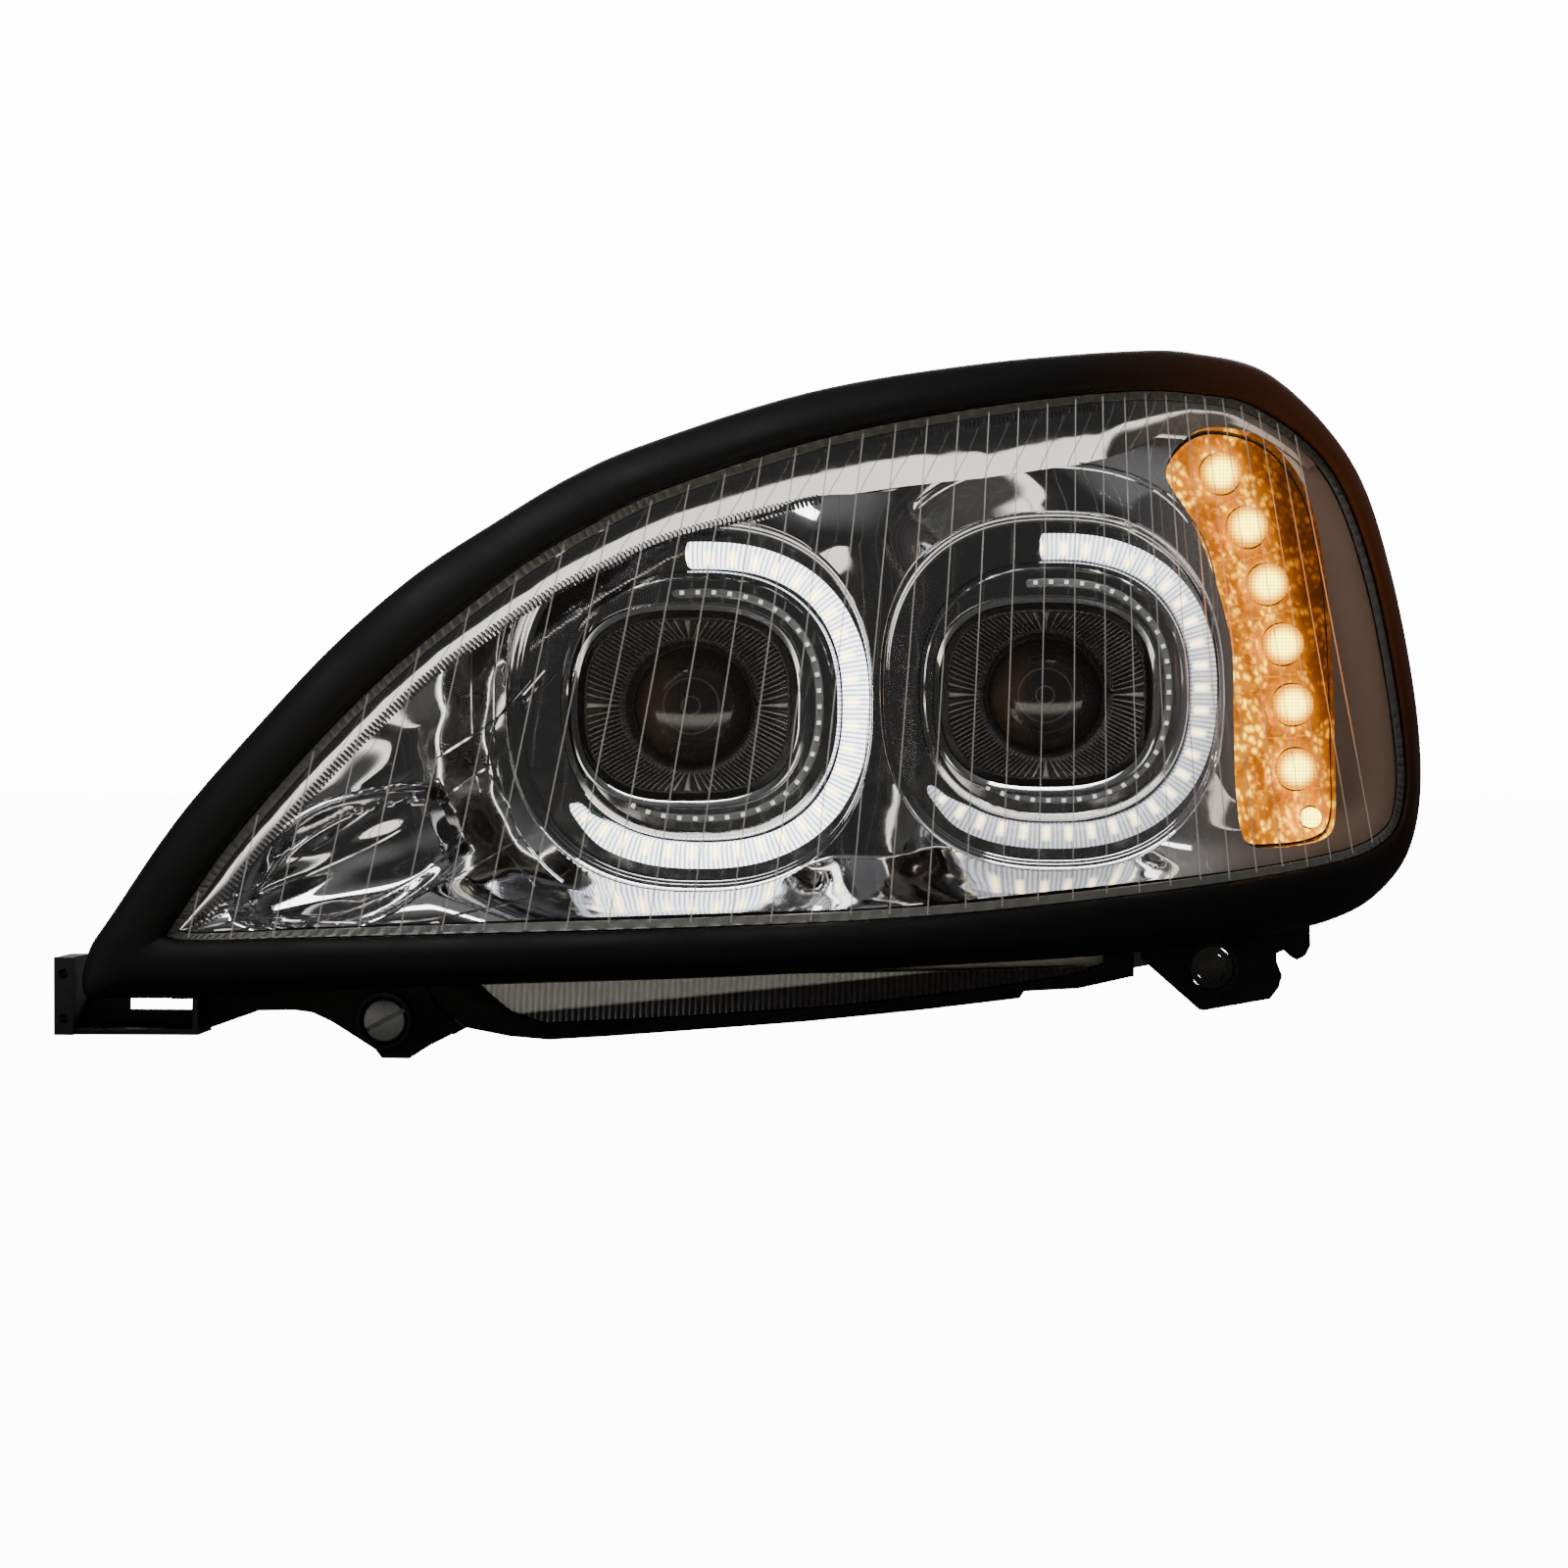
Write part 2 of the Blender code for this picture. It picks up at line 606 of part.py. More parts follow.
TRAY_OUTLINE = [
    (0.1795, 0.020), (0.181, 0.002), (0.187, -0.0085), (0.2015, -0.0195), (0.2238, -0.0241), (0.244, -0.0261),
    (0.274, -0.0247), (0.376, -0.0188), (0.439, -0.0140), (0.492, -0.0093), (0.4945, -0.0056),
    (0.5244, -0.0051), (0.556, 0.0005), (0.556, 0.022),
]
WINDOW_OUTLINE = [
    (0.2035, 0.012), (0.2060, 0.004), (0.2131, -0.0030), (0.2234, -0.0115), (0.2413, -0.0180), (0.3148, -0.0152),
    (0.397, -0.0110), (0.4705, -0.0040), (0.520, 0.0020), (0.540, 0.0065), (0.540, 0.016), (0.40, 0.012),
]
TRAY_FRONT = 0.0275
TRAY_BACK = 0.052


def make_lower_window():
    tray = plate("lower_tray", TRAY_OUTLINE, (TRAY_FRONT, TRAY_BACK), "black_plastic", swept=True)
    pocket = plate("pocket", WINDOW_OUTLINE, (TRAY_FRONT - 0.005, TRAY_BACK - 0.003), swept=True)
    cut(tray, pocket, housing_envelope("above_tray", 0.0009))
    window = plate("lower_window", inset(WINDOW_OUTLINE, 0.0006), (0.029, 0.032), "clear_plastic", swept=True)
    cut(window, housing_envelope("above_window", 0.0009))
    backing = plate("lower_reflector", inset(WINDOW_OUTLINE, 0.0010), (0.042, 0.045), "white_reflector", swept=True)
    cut(backing, housing_envelope("above_backing", 0.0009))


# ---------------------------------------------------------------- mounting brackets

WEB_FRONT = 0.0275
WEB_BACK = 0.0335
INNER_WEB = [
    (0.050, -0.0178), (0.0665, -0.0195), (0.0946, -0.0095), (0.1127, -0.0094), (0.122, -0.0108), (0.132, -0.0156),
    (0.1545, -0.0300), (0.1580, -0.0345), (0.1720, -0.0350), (0.1816, -0.0288), (0.1985, -0.0203),
    (0.1845, -0.0080), (0.1785, 0.002), (0.1770, 0.014), (0.050, 0.012),
]
OUTER_WEB = [
    (0.5600, 0.0100), (0.5933, -0.0197), (0.5960, -0.0204), (0.6362, -0.0162), (0.6417, -0.0101), (0.6439, -0.0034),
    (0.6406, 0.0049), (0.6406, 0.0093), (0.6450, 0.0110), (0.6499, 0.0066), (0.6532, 0.0049), (0.6587, 0.0071),
    (0.6620, 0.0127), (0.6615, 0.034), (0.5600, 0.025),
]
PAD_HALF = Vector((0.005, 0.0, 0.020))
PAD_FRONT = -0.034
PAD_SCREW_SPACING = 0.023
PAD_SCREW_HOLE = 0.0026
BOSS_RADIUS = 0.0149
HEAD_RADIUS = 0.0124
OUTER_BOSS = (0.6014, 0.0028)
OUTER_BOSS_DEPTHS = (0.172, 0.194)
OUTER_BORE = 0.0125


def make_inner_bracket():
    """The end pad with its two screw holes, the pocket with its clip slot, and the web out to the aiming screw."""
    bracket = block("inner_bracket", (-PAD_HALF.x, PAD_HALF.x), (PAD_FRONT, 0.0), (-PAD_HALF.z, PAD_HALF.z), "black_plastic")
    floor = block("floor", (0.0, 0.0690), (-0.030, 0.0), (-0.0200, -0.0172))
    end = block("end", (0.0662, 0.0690), (-0.030, 0.0), (-0.0200, -0.0010))
    rear = block("rear", (0.0, 0.0690), (-0.0035, 0.0), (-0.0200, -0.0010))
    web = plate("web", INNER_WEB, (WEB_FRONT, WEB_BACK), swept=True)
    x, z = TILT_SCREW
    boss = rod("boss", TILT_SCREW, BOSS_RADIUS, (0.004, 0.032), sides=32)
    join(bracket, floor, end, rear, web, boss)
    slot = block("slot", (0.0265, 0.0605), (-0.010, 0.010), (-0.0090, -0.0032))
    holes = [
        rod("hole", (0.0, side * PAD_SCREW_SPACING / 2), PAD_SCREW_HOLE, (PAD_FRONT - 0.01, 0.01), sides=16)
        for side in (-1, 1)
    ]
    counterbore = rod("counterbore", TILT_SCREW, HEAD_RADIUS + RUNNING_GAP, (0.0, 0.0155), sides=32)
    bore = rod("bore", TILT_SCREW, TILT_SCREW_RADIUS + RUNNING_GAP, (0.010, 0.040))
    cut(bracket, slot, *holes, counterbore, bore, housing_envelope("above_inner_web", 0.0009))


def make_outer_bracket():
    bracket = plate("outer_bracket", OUTER_WEB, (WEB_FRONT, WEB_BACK), "black_plastic", swept=True)
    join(bracket, rod("boss", OUTER_BOSS, BOSS_RADIUS, OUTER_BOSS_DEPTHS, sides=32))
    cut(bracket, rod("bore", OUTER_BOSS, OUTER_BORE, (0.10, 0.25), sides=32), housing_envelope("above_outer_web", 0.0009))
    sleeve = [(0.0121, 0.1945), (0.0121, 0.175), (0.0085, 0.175), (0.0085, 0.1945)]
    turned("mount_sleeve", OUTER_BOSS, sleeve, "steel", closed=True, steps=24)


# ---------------------------------------------------------------- projectors, carried on the aiming frame

COLLAR_INNER = 0.037
COLLAR_OUTER = 0.041
PLATE_FRONT = 0.045
PLATE_BACK = 0.048
HOLDER_FRONT = 0.0504
HOLDER_BACK = 0.084
BOWL_FRONT = 0.0844
BOWL_BACK = 0.126
BOWL_RADIUS = 0.038
BOWL_LENGTH = 0.052
BULB_HOLE = 0.011
SHROUD_POINTS = 28


def ellipse_profile(radius, start, end, count):
    """(radius, y) points down the side of an ellipsoid, from its back end to its front."""
    made = []
    for i in range(count):
        y = end + (start - end) * i / (count - 1)
        made.append((radius * math.sqrt(1 - ((y - start) / BOWL_LENGTH) ** 2), y))
    return made


def shifted(profile, face):
    return [(r, y + face) for r, y in profile]


def make_projector(side, unit):
    """Every piece of one projector, placed by the depth of its running light's face. Returns what rides on the carrier."""
    beam, face = unit["beam"], unit["face"]
    shroud_sections = [
        (SHROUD_HALF, SHROUD_POWER, 0.004), (SHROUD_HALF, SHROUD_POWER, 0.008), ((0.0375, 0.0375), 2.0, 0.042),
        ((LENS_HOLE, LENS_HOLE), 2.0, 0.042), ((LENS_HOLE, LENS_HOLE), 2.0, 0.038),
        (grown(SHROUD_HALF, -0.0025), SHROUD_POWER, 0.0055),
    ]
    rings = [squircle(beam, half, power, SHROUD_POINTS, face + y) for half, power, y in shroud_sections]
    shroud = loft("shroud_" + side, rings, "smoked_chrome", profile_closed=True)

    convex = []
    for i in range(5):
        angle = math.pi / 2 * i / 4
        convex.append((LENS_RADIUS * math.cos(angle), 0.044 - 0.016 * math.sin(angle)))
    lens_profile = [(0.0, 0.048), (LENS_RADIUS, 0.048), *convex]
    lens_profile[-1] = (0.0, lens_profile[-1][1])
    lens = turned("projector_lens_" + side, beam, shifted(lens_profile, face), "glass")

    ring_profile = [(0.0375, 0.050), (0.0375, 0.0425), (0.0329, 0.0425), (0.0329, 0.050)]
    ring = turned("lens_ring_" + side, beam, shifted(ring_profile, face), "steel", closed=True)
    holder_profile = [
        (0.038, HOLDER_BACK), (0.037, 0.0534), (0.047, 0.0534), (0.047, HOLDER_FRONT),
        (0.0335, HOLDER_FRONT), (0.0355, HOLDER_BACK),
    ]
    holder = turned("lens_holder_" + side, beam, shifted(holder_profile, face), "aluminium", closed=True)

    outside = ellipse_profile(BOWL_RADIUS, BOWL_FRONT, BOWL_BACK, 5)
    inside = ellipse_profile(BOWL_RADIUS - 0.0022, BOWL_FRONT, BOWL_BACK, 5)[::-1]
    bowl_profile = [(0.0215, 0.1285), *outside, *inside, (BULB_HOLE, BOWL_BACK), (BULB_HOLE, 0.1285)]
    bowl = turned("reflector_bowl_" + side, beam, shifted(bowl_profile, face), "chrome", closed=True)

    capsule = [(0.0, 0.1195), (0.0055, 0.1195), (0.0055, 0.095), (0.004, 0.091), (0.0, 0.0895)]
    bulb = turned("bulb_" + side, beam, shifted(capsule, face), "glass", steps=12)
    base_profile = [
        (0.0, 0.143), (0.010, 0.143), (0.010, 0.1315), (0.014, 0.1315), (0.014, 0.129),
        (0.008, 0.129), (0.008, 0.120), (0.0, 0.120),
    ]
    base = turned("bulb_base_" + side, beam, shifted(base_profile, face), "steel", steps=16)
    return [shroud, lens, ring, holder, bowl, bulb, base]


def make_bulb_clip(side, unit):
    """A spring wire across the bulb's flange. It swings on its top bar, which is the object's origin."""
    x, z = unit["beam"]
    hinge = Vector((x, unit["face"] + 0.1327, z + 0.0190))
    curve = bpy.data.curves.new("bulb_clip_" + side, "CURVE")
    curve.dimensions = "3D"
    curve.bevel_depth = 0.0009
    curve.bevel_resolution = 2
    curve.use_fill_caps = True
    leg, foot = 0.0125, -0.034
    route = [(-0.006, 0, foot), (-leg, 0, foot), (-leg, 0, -0.001), (-leg + 0.001, 0, 0)]
    route += [(-px, py, pz) for px, py, pz in reversed(route)]
    spline = curve.splines.new("POLY")
    spline.points.add(len(route) - 1)
    for point, place in zip(spline.points, route):
        point.co = (*place, 1.0)
    clip = add_object("bulb_clip_" + side, curve, None)
    PARTS.objects.link(clip)
    TOOLS.objects.unlink(clip)
    clip.hide_render = False
    clip.display_type = "TEXTURED"
    curve.materials.append(finish("steel"))
    clip.location = hinge
    return clip


def make_shutter():
    """The low beam's cut-off plate: a half disc whose top edge steps up on one side."""
    unit = PROJECTORS["outer"]
    x, z = unit["beam"]
    radius = 0.033
    outline = [(x + radius * math.cos(a), z + radius * math.sin(a)) for a in (math.pi * (1 + i / 14) for i in range(15))]
    outline += [(x + 0.006, z + 0.0), (x - 0.002, z - 0.003)]
    outline[0] = (outline[0][0], z - 0.003)
    return plate("cutoff_shield", outline, (unit["face"] + 0.078, unit["face"] + 0.0795), "steel")


# ---------------------------------------------------------------- aiming frame, pivot and screws


def make_carrier():
    """A stepped plate that holds both projectors, with an ear to the pivot and an arm down to the tilting screw."""
    inner, outer = PROJECTORS["inner"], PROJECTORS["outer"]
    near = (inner["face"] + PLATE_FRONT, inner["face"] + PLATE_BACK)
    far = (outer["face"] + PLATE_FRONT, outer["face"] + PLATE_BACK)
    carrier = block("carrier", (0.252, 0.393), near, (0.093, 0.209), "steel")
    riser = block("riser", (0.390, 0.393), (near[0], far[1]), (0.093, 0.209))
    far_plate = block("far_plate", (0.390, 0.566), far, (0.093, 0.216))
    ear = block("ear", (0.150, 0.260), near, (0.084, 0.116))
    arm = block("arm", (PIVOT.x - 0.009, PIVOT.x + 0.009), near, (TILT_SCREW[1] - 0.010, 0.116))
    lugs = [
        block("lug", (PIVOT.x - 0.006, PIVOT.x + 0.006), (near[0] + 0.001, PIVOT.y + 0.006), (PIVOT.z + low, PIVOT.z + low + 0.004))
        for low in (-0.0125, 0.0085)
    ]
    join(carrier, riser, far_plate, ear, arm, *lugs)
    holes = [
        rod("hole", unit["beam"], 0.040, (unit["face"] + 0.035, unit["face"] + 0.060), sides=32)
        for unit in PROJECTORS.values()
    ]
    passages = [
        rod("passage", TURN_SCREW, 0.008, (0.215, 0.245), sides=20),
        rod("passage", TILT_SCREW, TILT_SCREW_RADIUS + NUT_GAP, (0.140, 0.160), sides=20),
    ]
    bm = bmesh.new()
    bmesh.ops.create_cone(bm, cap_ends=True, segments=16, radius1=0.0028, radius2=0.0028, depth=0.05)
    bmesh.ops.transform(bm, matrix=Matrix.Translation(PIVOT), verts=bm.verts[:])
    pins = add_object("pins", mesh_from(bm, "pins"))
    cut(carrier, *holes, *passages, pins)
    return smooth(carrier)


def make_pivot():
    """The fixed post with its cup, and the ball whose two pins the carrier turns on."""
    ball_radius = 0.0060
    cup = rod("pivot_post", (PIVOT.x, PIVOT.z), 0.0072, (PIVOT.y + 0.001, PIVOT.y + 0.014), "black_plastic")
    shank = rod("shank", (PIVOT.x, PIVOT.z), 0.0050, (PIVOT.y + 0.010, BACK_INNER - WALL - 0.0004), sides=20)
    join(cup, shank)
    bm = bmesh.new()
    bmesh.ops.create_uvsphere(bm, u_segments=20, v_segments=12, radius=ball_radius + 0.0004)
    bmesh.ops.transform(bm, matrix=Matrix.Translation(PIVOT), verts=bm.verts[:])
    seat = add_object("seat", mesh_from(bm, "seat"))
    slots = [
        block("slot", (PIVOT.x - 0.0035, PIVOT.x + 0.0035), (PIVOT.y - 0.01, PIVOT.y + 0.0045), (PIVOT.z + a, PIVOT.z + b))
        for a, b in ((-0.02, 0.0), (0.0, 0.02))
    ]
    cut(cup, seat, *slots)
    bm = bmesh.new()
    bmesh.ops.create_uvsphere(bm, u_segments=18, v_segments=10, radius=ball_radius)
    ball = add_object("pivot_ball", mesh_from(bm, "pivot_ball"), "steel")
    bm = bmesh.new()
    bmesh.ops.create_cone(bm, cap_ends=True, segments=14, radius1=0.0024, radius2=0.0024, depth=0.0260)
    join(ball, add_object("pins", mesh_from(bm, "pins")))
    ball.location = PIVOT
    return smooth(ball)


def make_aim_nuts():
    """Two blocks on the carrier, each threaded on one aiming screw and level with the ball."""
    x, z = TILT_SCREW
    plate_back = PROJECTORS["inner"]["face"] + PLATE_BACK
    depths = (plate_back + 0.0004, plate_back + 0.0124)
    low = block("tilt_nut", (x - 0.007, x + 0.007), depths, (z - 0.008, z + 0.008), "white_reflector")
    cut(low, rod("hole", TILT_SCREW, TILT_SCREW_RADIUS + NUT_GAP, (0.14, 0.20)))
    x, z = TURN_SCREW
    depths = (PIVOT.y - 0.007, PIVOT.y + 0.007)
    rear = block("turn_nut", (0.3934, x + 0.0075), depths, (z - 0.0065, z + 0.0075), "white_reflector")
    cut(rear, rod("hole", TURN_SCREW, TURN_SCREW_RADIUS + NUT_GAP, (0.14, 0.20)))
    return [smooth(low), smooth(rear)]


def make_aiming_screws():
    """The slotted screw in the front bracket and the hexagonal knob on the back, each turned about its own axis."""
    tilt_profile = [
        (0.0, 0.190), (TILT_SCREW_RADIUS, 0.190), (TILT_SCREW_RADIUS, 0.0145), (HEAD_RADIUS, 0.0145),
        (HEAD_RADIUS, 0.0065), (0.0115, 0.0055), (0.0, 0.0055),
    ]
    tilt = turned("tilt_screw", TILT_SCREW, tilt_profile, "aluminium", steps=24)
    slot = block("slot", (-0.0100, 0.0100), (0.0, 0.0075), (-0.0012, 0.0012))
    slot.rotation_euler = (0.0, math.radians(-24), 0.0)
    slot.location = (TILT_SCREW[0], 0.0, TILT_SCREW[1])
    cut(tilt, slot)
    turn_profile = [
        (0.0, 0.3050), (0.0090, 0.3050), (0.0105, 0.3035), (0.0105, 0.2893), (TURN_SCREW_RADIUS, 0.2893),
        (TURN_SCREW_RADIUS, 0.148), (0.0, 0.148),
    ]
    turn = turned("turn_screw", TURN_SCREW, turn_profile, "white_reflector", steps=12)
    tilt_seal = [(0.0085, 0.1297), (0.0085, 0.126), (0.0046, 0.126), (0.0046, 0.1297)]
    turned("tilt_seal", TILT_SCREW, tilt_seal, "black_rubber", closed=True, steps=12)
    turn_seal = [(0.0078, 0.2888), (0.0078, 0.2854), (0.0042, 0.2854), (0.0042, 0.2888)]
    turned("turn_seal", TURN_SCREW, turn_seal, "black_rubber", closed=True, steps=12)


# ---------------------------------------------------------------- service ports and the back of the housing


def make_service_port(side, unit):
    wall, beam = unit["port"], unit["beam"]
    shell = [
        (0.0, 0.0215), (0.043, 0.0215), (0.0450, 0.0190), (0.0450, 0.0042), (0.0421, 0.0042),
        (0.0421, 0.0155), (0.0, 0.0155),
    ]
    cap = turned("service_cap_" + side, beam, shifted(shell, wall), "black_rubber", steps=24)
    x, z = beam
    grip = block("grip", (x - 0.024, x + 0.024), (wall + 0.020, wall + 0.033), (z - 0.005, z + 0.005))
    join(cap, grip)
    ring = [(0.0448, 0.0038), (0.0448, 0.0006), (0.0420, 0.0006), (0.0420, 0.0038)]
    seal = turned("cap_seal_" + side, beam, shifted(ring, wall), "white_reflector", closed=True, steps=24)
    return cap, seal


CONNECTOR = (0.600, 0.060)


def make_rear_fittings():
    x, z = CONNECTOR
    wall = BACK_OUTER + 0.0004
    socket = block("connector_socket", (x - 0.018, x + 0.018), (wall, 0.361), (z - 0.010, z + 0.010), "black_plastic")
    flange = block("flange", (x - 0.024, x + 0.024), (wall, wall + 0.003), (z - 0.014, z + 0.014))
    join(socket, flange)
    cut(socket, block("inside", (x - 0.0155, x + 0.0155), (0.3395, 0.37), (z - 0.0075, z + 0.0075)))
    pins = block("connector_pins", (x - 0.0120, x + 0.0120), (0.3399, 0.3410), (z - 0.0060, z + 0.0060), "gold_contact")
    for column in (-1, 0, 1):
        for row in (-1, 1):
            px, pz = x + column * 0.009, z + row * 0.0035
            join(pins, block("pin", (px - 0.0008, px + 0.0008), (0.3405, 0.352), (pz - 0.0008, pz + 0.0008)))
    profile = [(0.0, 0.0130), (0.006, 0.0130), (0.0095, 0.0100), (0.0095, 0.0040), (0.006, 0.0040), (0.006, 0.0004), (0.0, 0.0004)]
    turned("breather", (0.600, 0.205), shifted(profile, BACK_OUTER), "black_rubber", steps=12)
    driver = block("led_driver", (0.462, 0.542), (wall, 0.352), (0.222, 0.262), "aluminium")
    fins = [
        block(f"gap_{i}", (0.468 + i * 0.010, 0.473 + i * 0.010), (0.345, 0.36), (0.21, 0.27))
        for i in range(7)
    ]
    cut(driver, *fins)


# ---------------------------------------------------------------- assembly


def main():
    make_housing()
    make_lens_group()
    make_bezel()
    make_signal()
    make_lower_window()
    make_inner_bracket()
    make_outer_bracket()
    make_pivot()
    aimed = [make_carrier(), *make_aim_nuts(), make_shutter()]
    make_aiming_screws()
    for side, unit in PROJECTORS.items():
        make_cup(side, unit)
        make_running_light(side, unit)
        aimed += make_projector(side, unit)
        make_bulb_clip(side, unit)
        make_service_port(side, unit)
    for piece in aimed:
        set_origin(piece, PIVOT)
    make_rear_fittings()


main()
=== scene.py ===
"""The finished look of a left-hand truck headlight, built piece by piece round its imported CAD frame."""

import math

import bmesh
import bpy
import numpy as np
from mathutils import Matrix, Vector
from mathutils.geometry import delaunay_2d_cdt
from mathutils.kdtree import KDTree


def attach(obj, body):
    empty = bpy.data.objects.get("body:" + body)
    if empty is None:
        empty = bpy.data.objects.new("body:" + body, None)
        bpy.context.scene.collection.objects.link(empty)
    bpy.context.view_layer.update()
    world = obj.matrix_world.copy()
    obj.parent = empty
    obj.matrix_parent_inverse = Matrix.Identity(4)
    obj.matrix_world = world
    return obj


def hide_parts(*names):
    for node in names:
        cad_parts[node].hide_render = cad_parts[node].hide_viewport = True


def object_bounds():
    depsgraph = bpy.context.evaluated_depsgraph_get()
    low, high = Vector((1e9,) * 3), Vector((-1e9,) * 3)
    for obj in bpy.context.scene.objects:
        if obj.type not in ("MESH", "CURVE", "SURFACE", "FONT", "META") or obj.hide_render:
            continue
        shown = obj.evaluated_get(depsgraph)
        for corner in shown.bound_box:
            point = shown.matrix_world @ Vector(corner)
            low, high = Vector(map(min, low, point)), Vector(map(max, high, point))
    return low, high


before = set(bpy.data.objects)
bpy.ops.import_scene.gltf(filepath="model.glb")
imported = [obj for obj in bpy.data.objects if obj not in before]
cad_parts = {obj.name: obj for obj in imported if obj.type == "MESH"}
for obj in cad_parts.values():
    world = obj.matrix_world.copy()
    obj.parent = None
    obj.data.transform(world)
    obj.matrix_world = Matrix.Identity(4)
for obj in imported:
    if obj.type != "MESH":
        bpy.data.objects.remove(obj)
cad_box = [list(corner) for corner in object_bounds()]
scene = bpy.context.scene

# ---------------------------------------------------------------- studio
# The lamp stands on a pale, evenly lit floor, seen almost from straight ahead and a little from its outer
# side. Large soft lights give the metallised surfaces long bright streaks, with dark studio between them.


def srgb(code):
    """A colour written as a hex code, in the linear values that shaders take."""
    parts = [int(code[i : i + 2], 16) / 255 for i in (1, 3, 5)]
    return (*[c / 12.92 if c <= 0.04045 else ((c + 0.055) / 1.055) ** 2.4 for c in parts], 1.0)


def add(tree, kind, values=None, links=None):
    """Adds a node: values sets its properties and inputs, links joins other nodes' outputs to its inputs."""
    made = tree.nodes.new(kind)
    for key, value in (values or {}).items():
        if isinstance(key, str) and hasattr(made, key):
            setattr(made, key, value)
        else:
            made.inputs[key].default_value = value
    for key, source in (links or {}).items():
        tree.links.new(source, made.inputs[key])
    return made


def feed(tree, node, given):
    """Gives a node's inputs their values or links, by name or number."""
    for key, value in given.items():
        if isinstance(value, bpy.types.NodeSocket):
            tree.links.new(value, node.inputs[key])
        else:
            node.inputs[key].default_value = value
    return node


def maths(tree, operation, *terms):
    """One step of arithmetic on values or sockets."""
    step = add(tree, "ShaderNodeMath", {"operation": operation})
    return feed(tree, step, dict(enumerate(terms))).outputs[0]


def ramp(tree, value, before, after, kind="SMOOTHSTEP"):
    """Maps a value from one range to another, smoothly unless kind says otherwise."""
    step = add(tree, "ShaderNodeMapRange", {"interpolation_type": kind})
    limits = {"From Min": before[0], "From Max": before[1], "To Min": after[0], "To Max": after[1]}
    return feed(tree, step, {"Value": value, **limits}).outputs[0]


def blend(tree, factor, first, second):
    """Mixes two colours, each a value or a socket."""
    step = add(tree, "ShaderNodeMix", {"data_type": "RGBA"})
    return feed(tree, step, {"Factor": factor, "A": first, "B": second}).outputs["Result"]


camera = bpy.data.objects.new("camera", bpy.data.cameras.new("camera"))
scene.collection.objects.link(camera)
camera.data.lens = 75.6
camera.location = (0.469, -1.700, 0.129)
aim = Vector((0.369, 0.0, 0.109)) - camera.location
camera.rotation_euler = aim.to_track_quat("-Z", "Y").to_euler()
scene.camera = camera

world = bpy.data.worlds.new("studio")
scene.world = world
world.use_nodes = True
tree = world.node_tree
tree.nodes.clear()
direction = add(tree, "ShaderNodeTexCoord").outputs["Generated"]
height = add(tree, "ShaderNodeSeparateXYZ", links={0: direction})
rise = ramp(tree, height.outputs["Z"], (0.30, 1.0), (0.035, 0.30))
behind = ramp(tree, height.outputs["Y"], (0.1, 0.9), (0.0, 0.30))
glow = maths(tree, "ADD", rise, behind)
seen = add(tree, "ShaderNodeLightPath")
strength = add(
    tree,
    "ShaderNodeMix",
    {"data_type": "FLOAT", "B": 14.0},
    {"Factor": seen.outputs["Is Camera Ray"], "A": glow},
)
sky = add(tree, "ShaderNodeBackground", {"Color": (1.0, 1.0, 1.0, 1.0)}, {"Strength": strength.outputs[0]})
add(tree, "ShaderNodeOutputWorld", links={"Surface": sky.outputs[0]})

SOFTBOXES = [
    # name, centre, width, height, watts
    ("overhead_bank", (0.25, -0.55, 1.20), 1.20, 0.30, 16.0),
    ("left_strip", (-1.20, -0.75, 0.40), 0.12, 1.20, 6.0),
    ("rear_bank", (0.40, 1.60, 0.80), 1.40, 0.60, 24.0),
]
for name, centre, width, tall, watts in SOFTBOXES:
    lamp = bpy.data.lights.new(name, "AREA")
    lamp.shape = "RECTANGLE"
    lamp.size = width
    lamp.size_y = tall
    lamp.energy = watts
    holder = bpy.data.objects.new(name, lamp)
    scene.collection.objects.link(holder)
    holder.location = centre
    toward = Vector((0.37, 0.10, 0.12)) - holder.location
    holder.rotation_euler = toward.to_track_quat("-Z", "Y").to_euler()

floor_mesh = bpy.data.meshes.new("floor")
low = cad_box[0][2] - 0.0005
floor_mesh.from_pydata([(-9, -9, low), (9, -9, low), (9, 9, low), (-9, 9, low)], [], [(0, 1, 2, 3)])
floor = bpy.data.objects.new("floor", floor_mesh)
scene.collection.objects.link(floor)
# Seamless matt paper, glowing a little so that it stays as pale as the backdrop.
paper = bpy.data.materials.new("seamless matt paper")
paper.use_nodes = True
tree = paper.node_tree
tree.nodes.clear()
matt = add(tree, "ShaderNodeBsdfDiffuse", {"Color": srgb("#565655")})
across = add(tree, "ShaderNodeSeparateXYZ", links={0: add(tree, "ShaderNodeTexCoord").outputs["Object"]})
away = maths(tree, "SUBTRACT", across.outputs["Y"], -0.75)
away = maths(tree, "ABSOLUTE", away)
ahead = ramp(tree, away, (0.25, 0.55), (3.0, 0.02))
sheen = add(tree, "ShaderNodeEmission", {"Color": srgb("#fffaec")}, {"Strength": ahead})
matt = add(tree, "ShaderNodeAddShader", links={0: matt.outputs[0], 1: sheen.outputs[0]})
pale = add(tree, "ShaderNodeEmission", {"Strength": 13.0})
seen = add(tree, "ShaderNodeLightPath")
mixed = add(
    tree,
    "ShaderNodeMixShader",
    links={0: seen.outputs["Is Camera Ray"], 1: matt.outputs[0], 2: pale.outputs[0]},
)
add(tree, "ShaderNodeOutputMaterial", links={"Surface": mixed.outputs[0]})
floor_mesh.materials.append(paper)
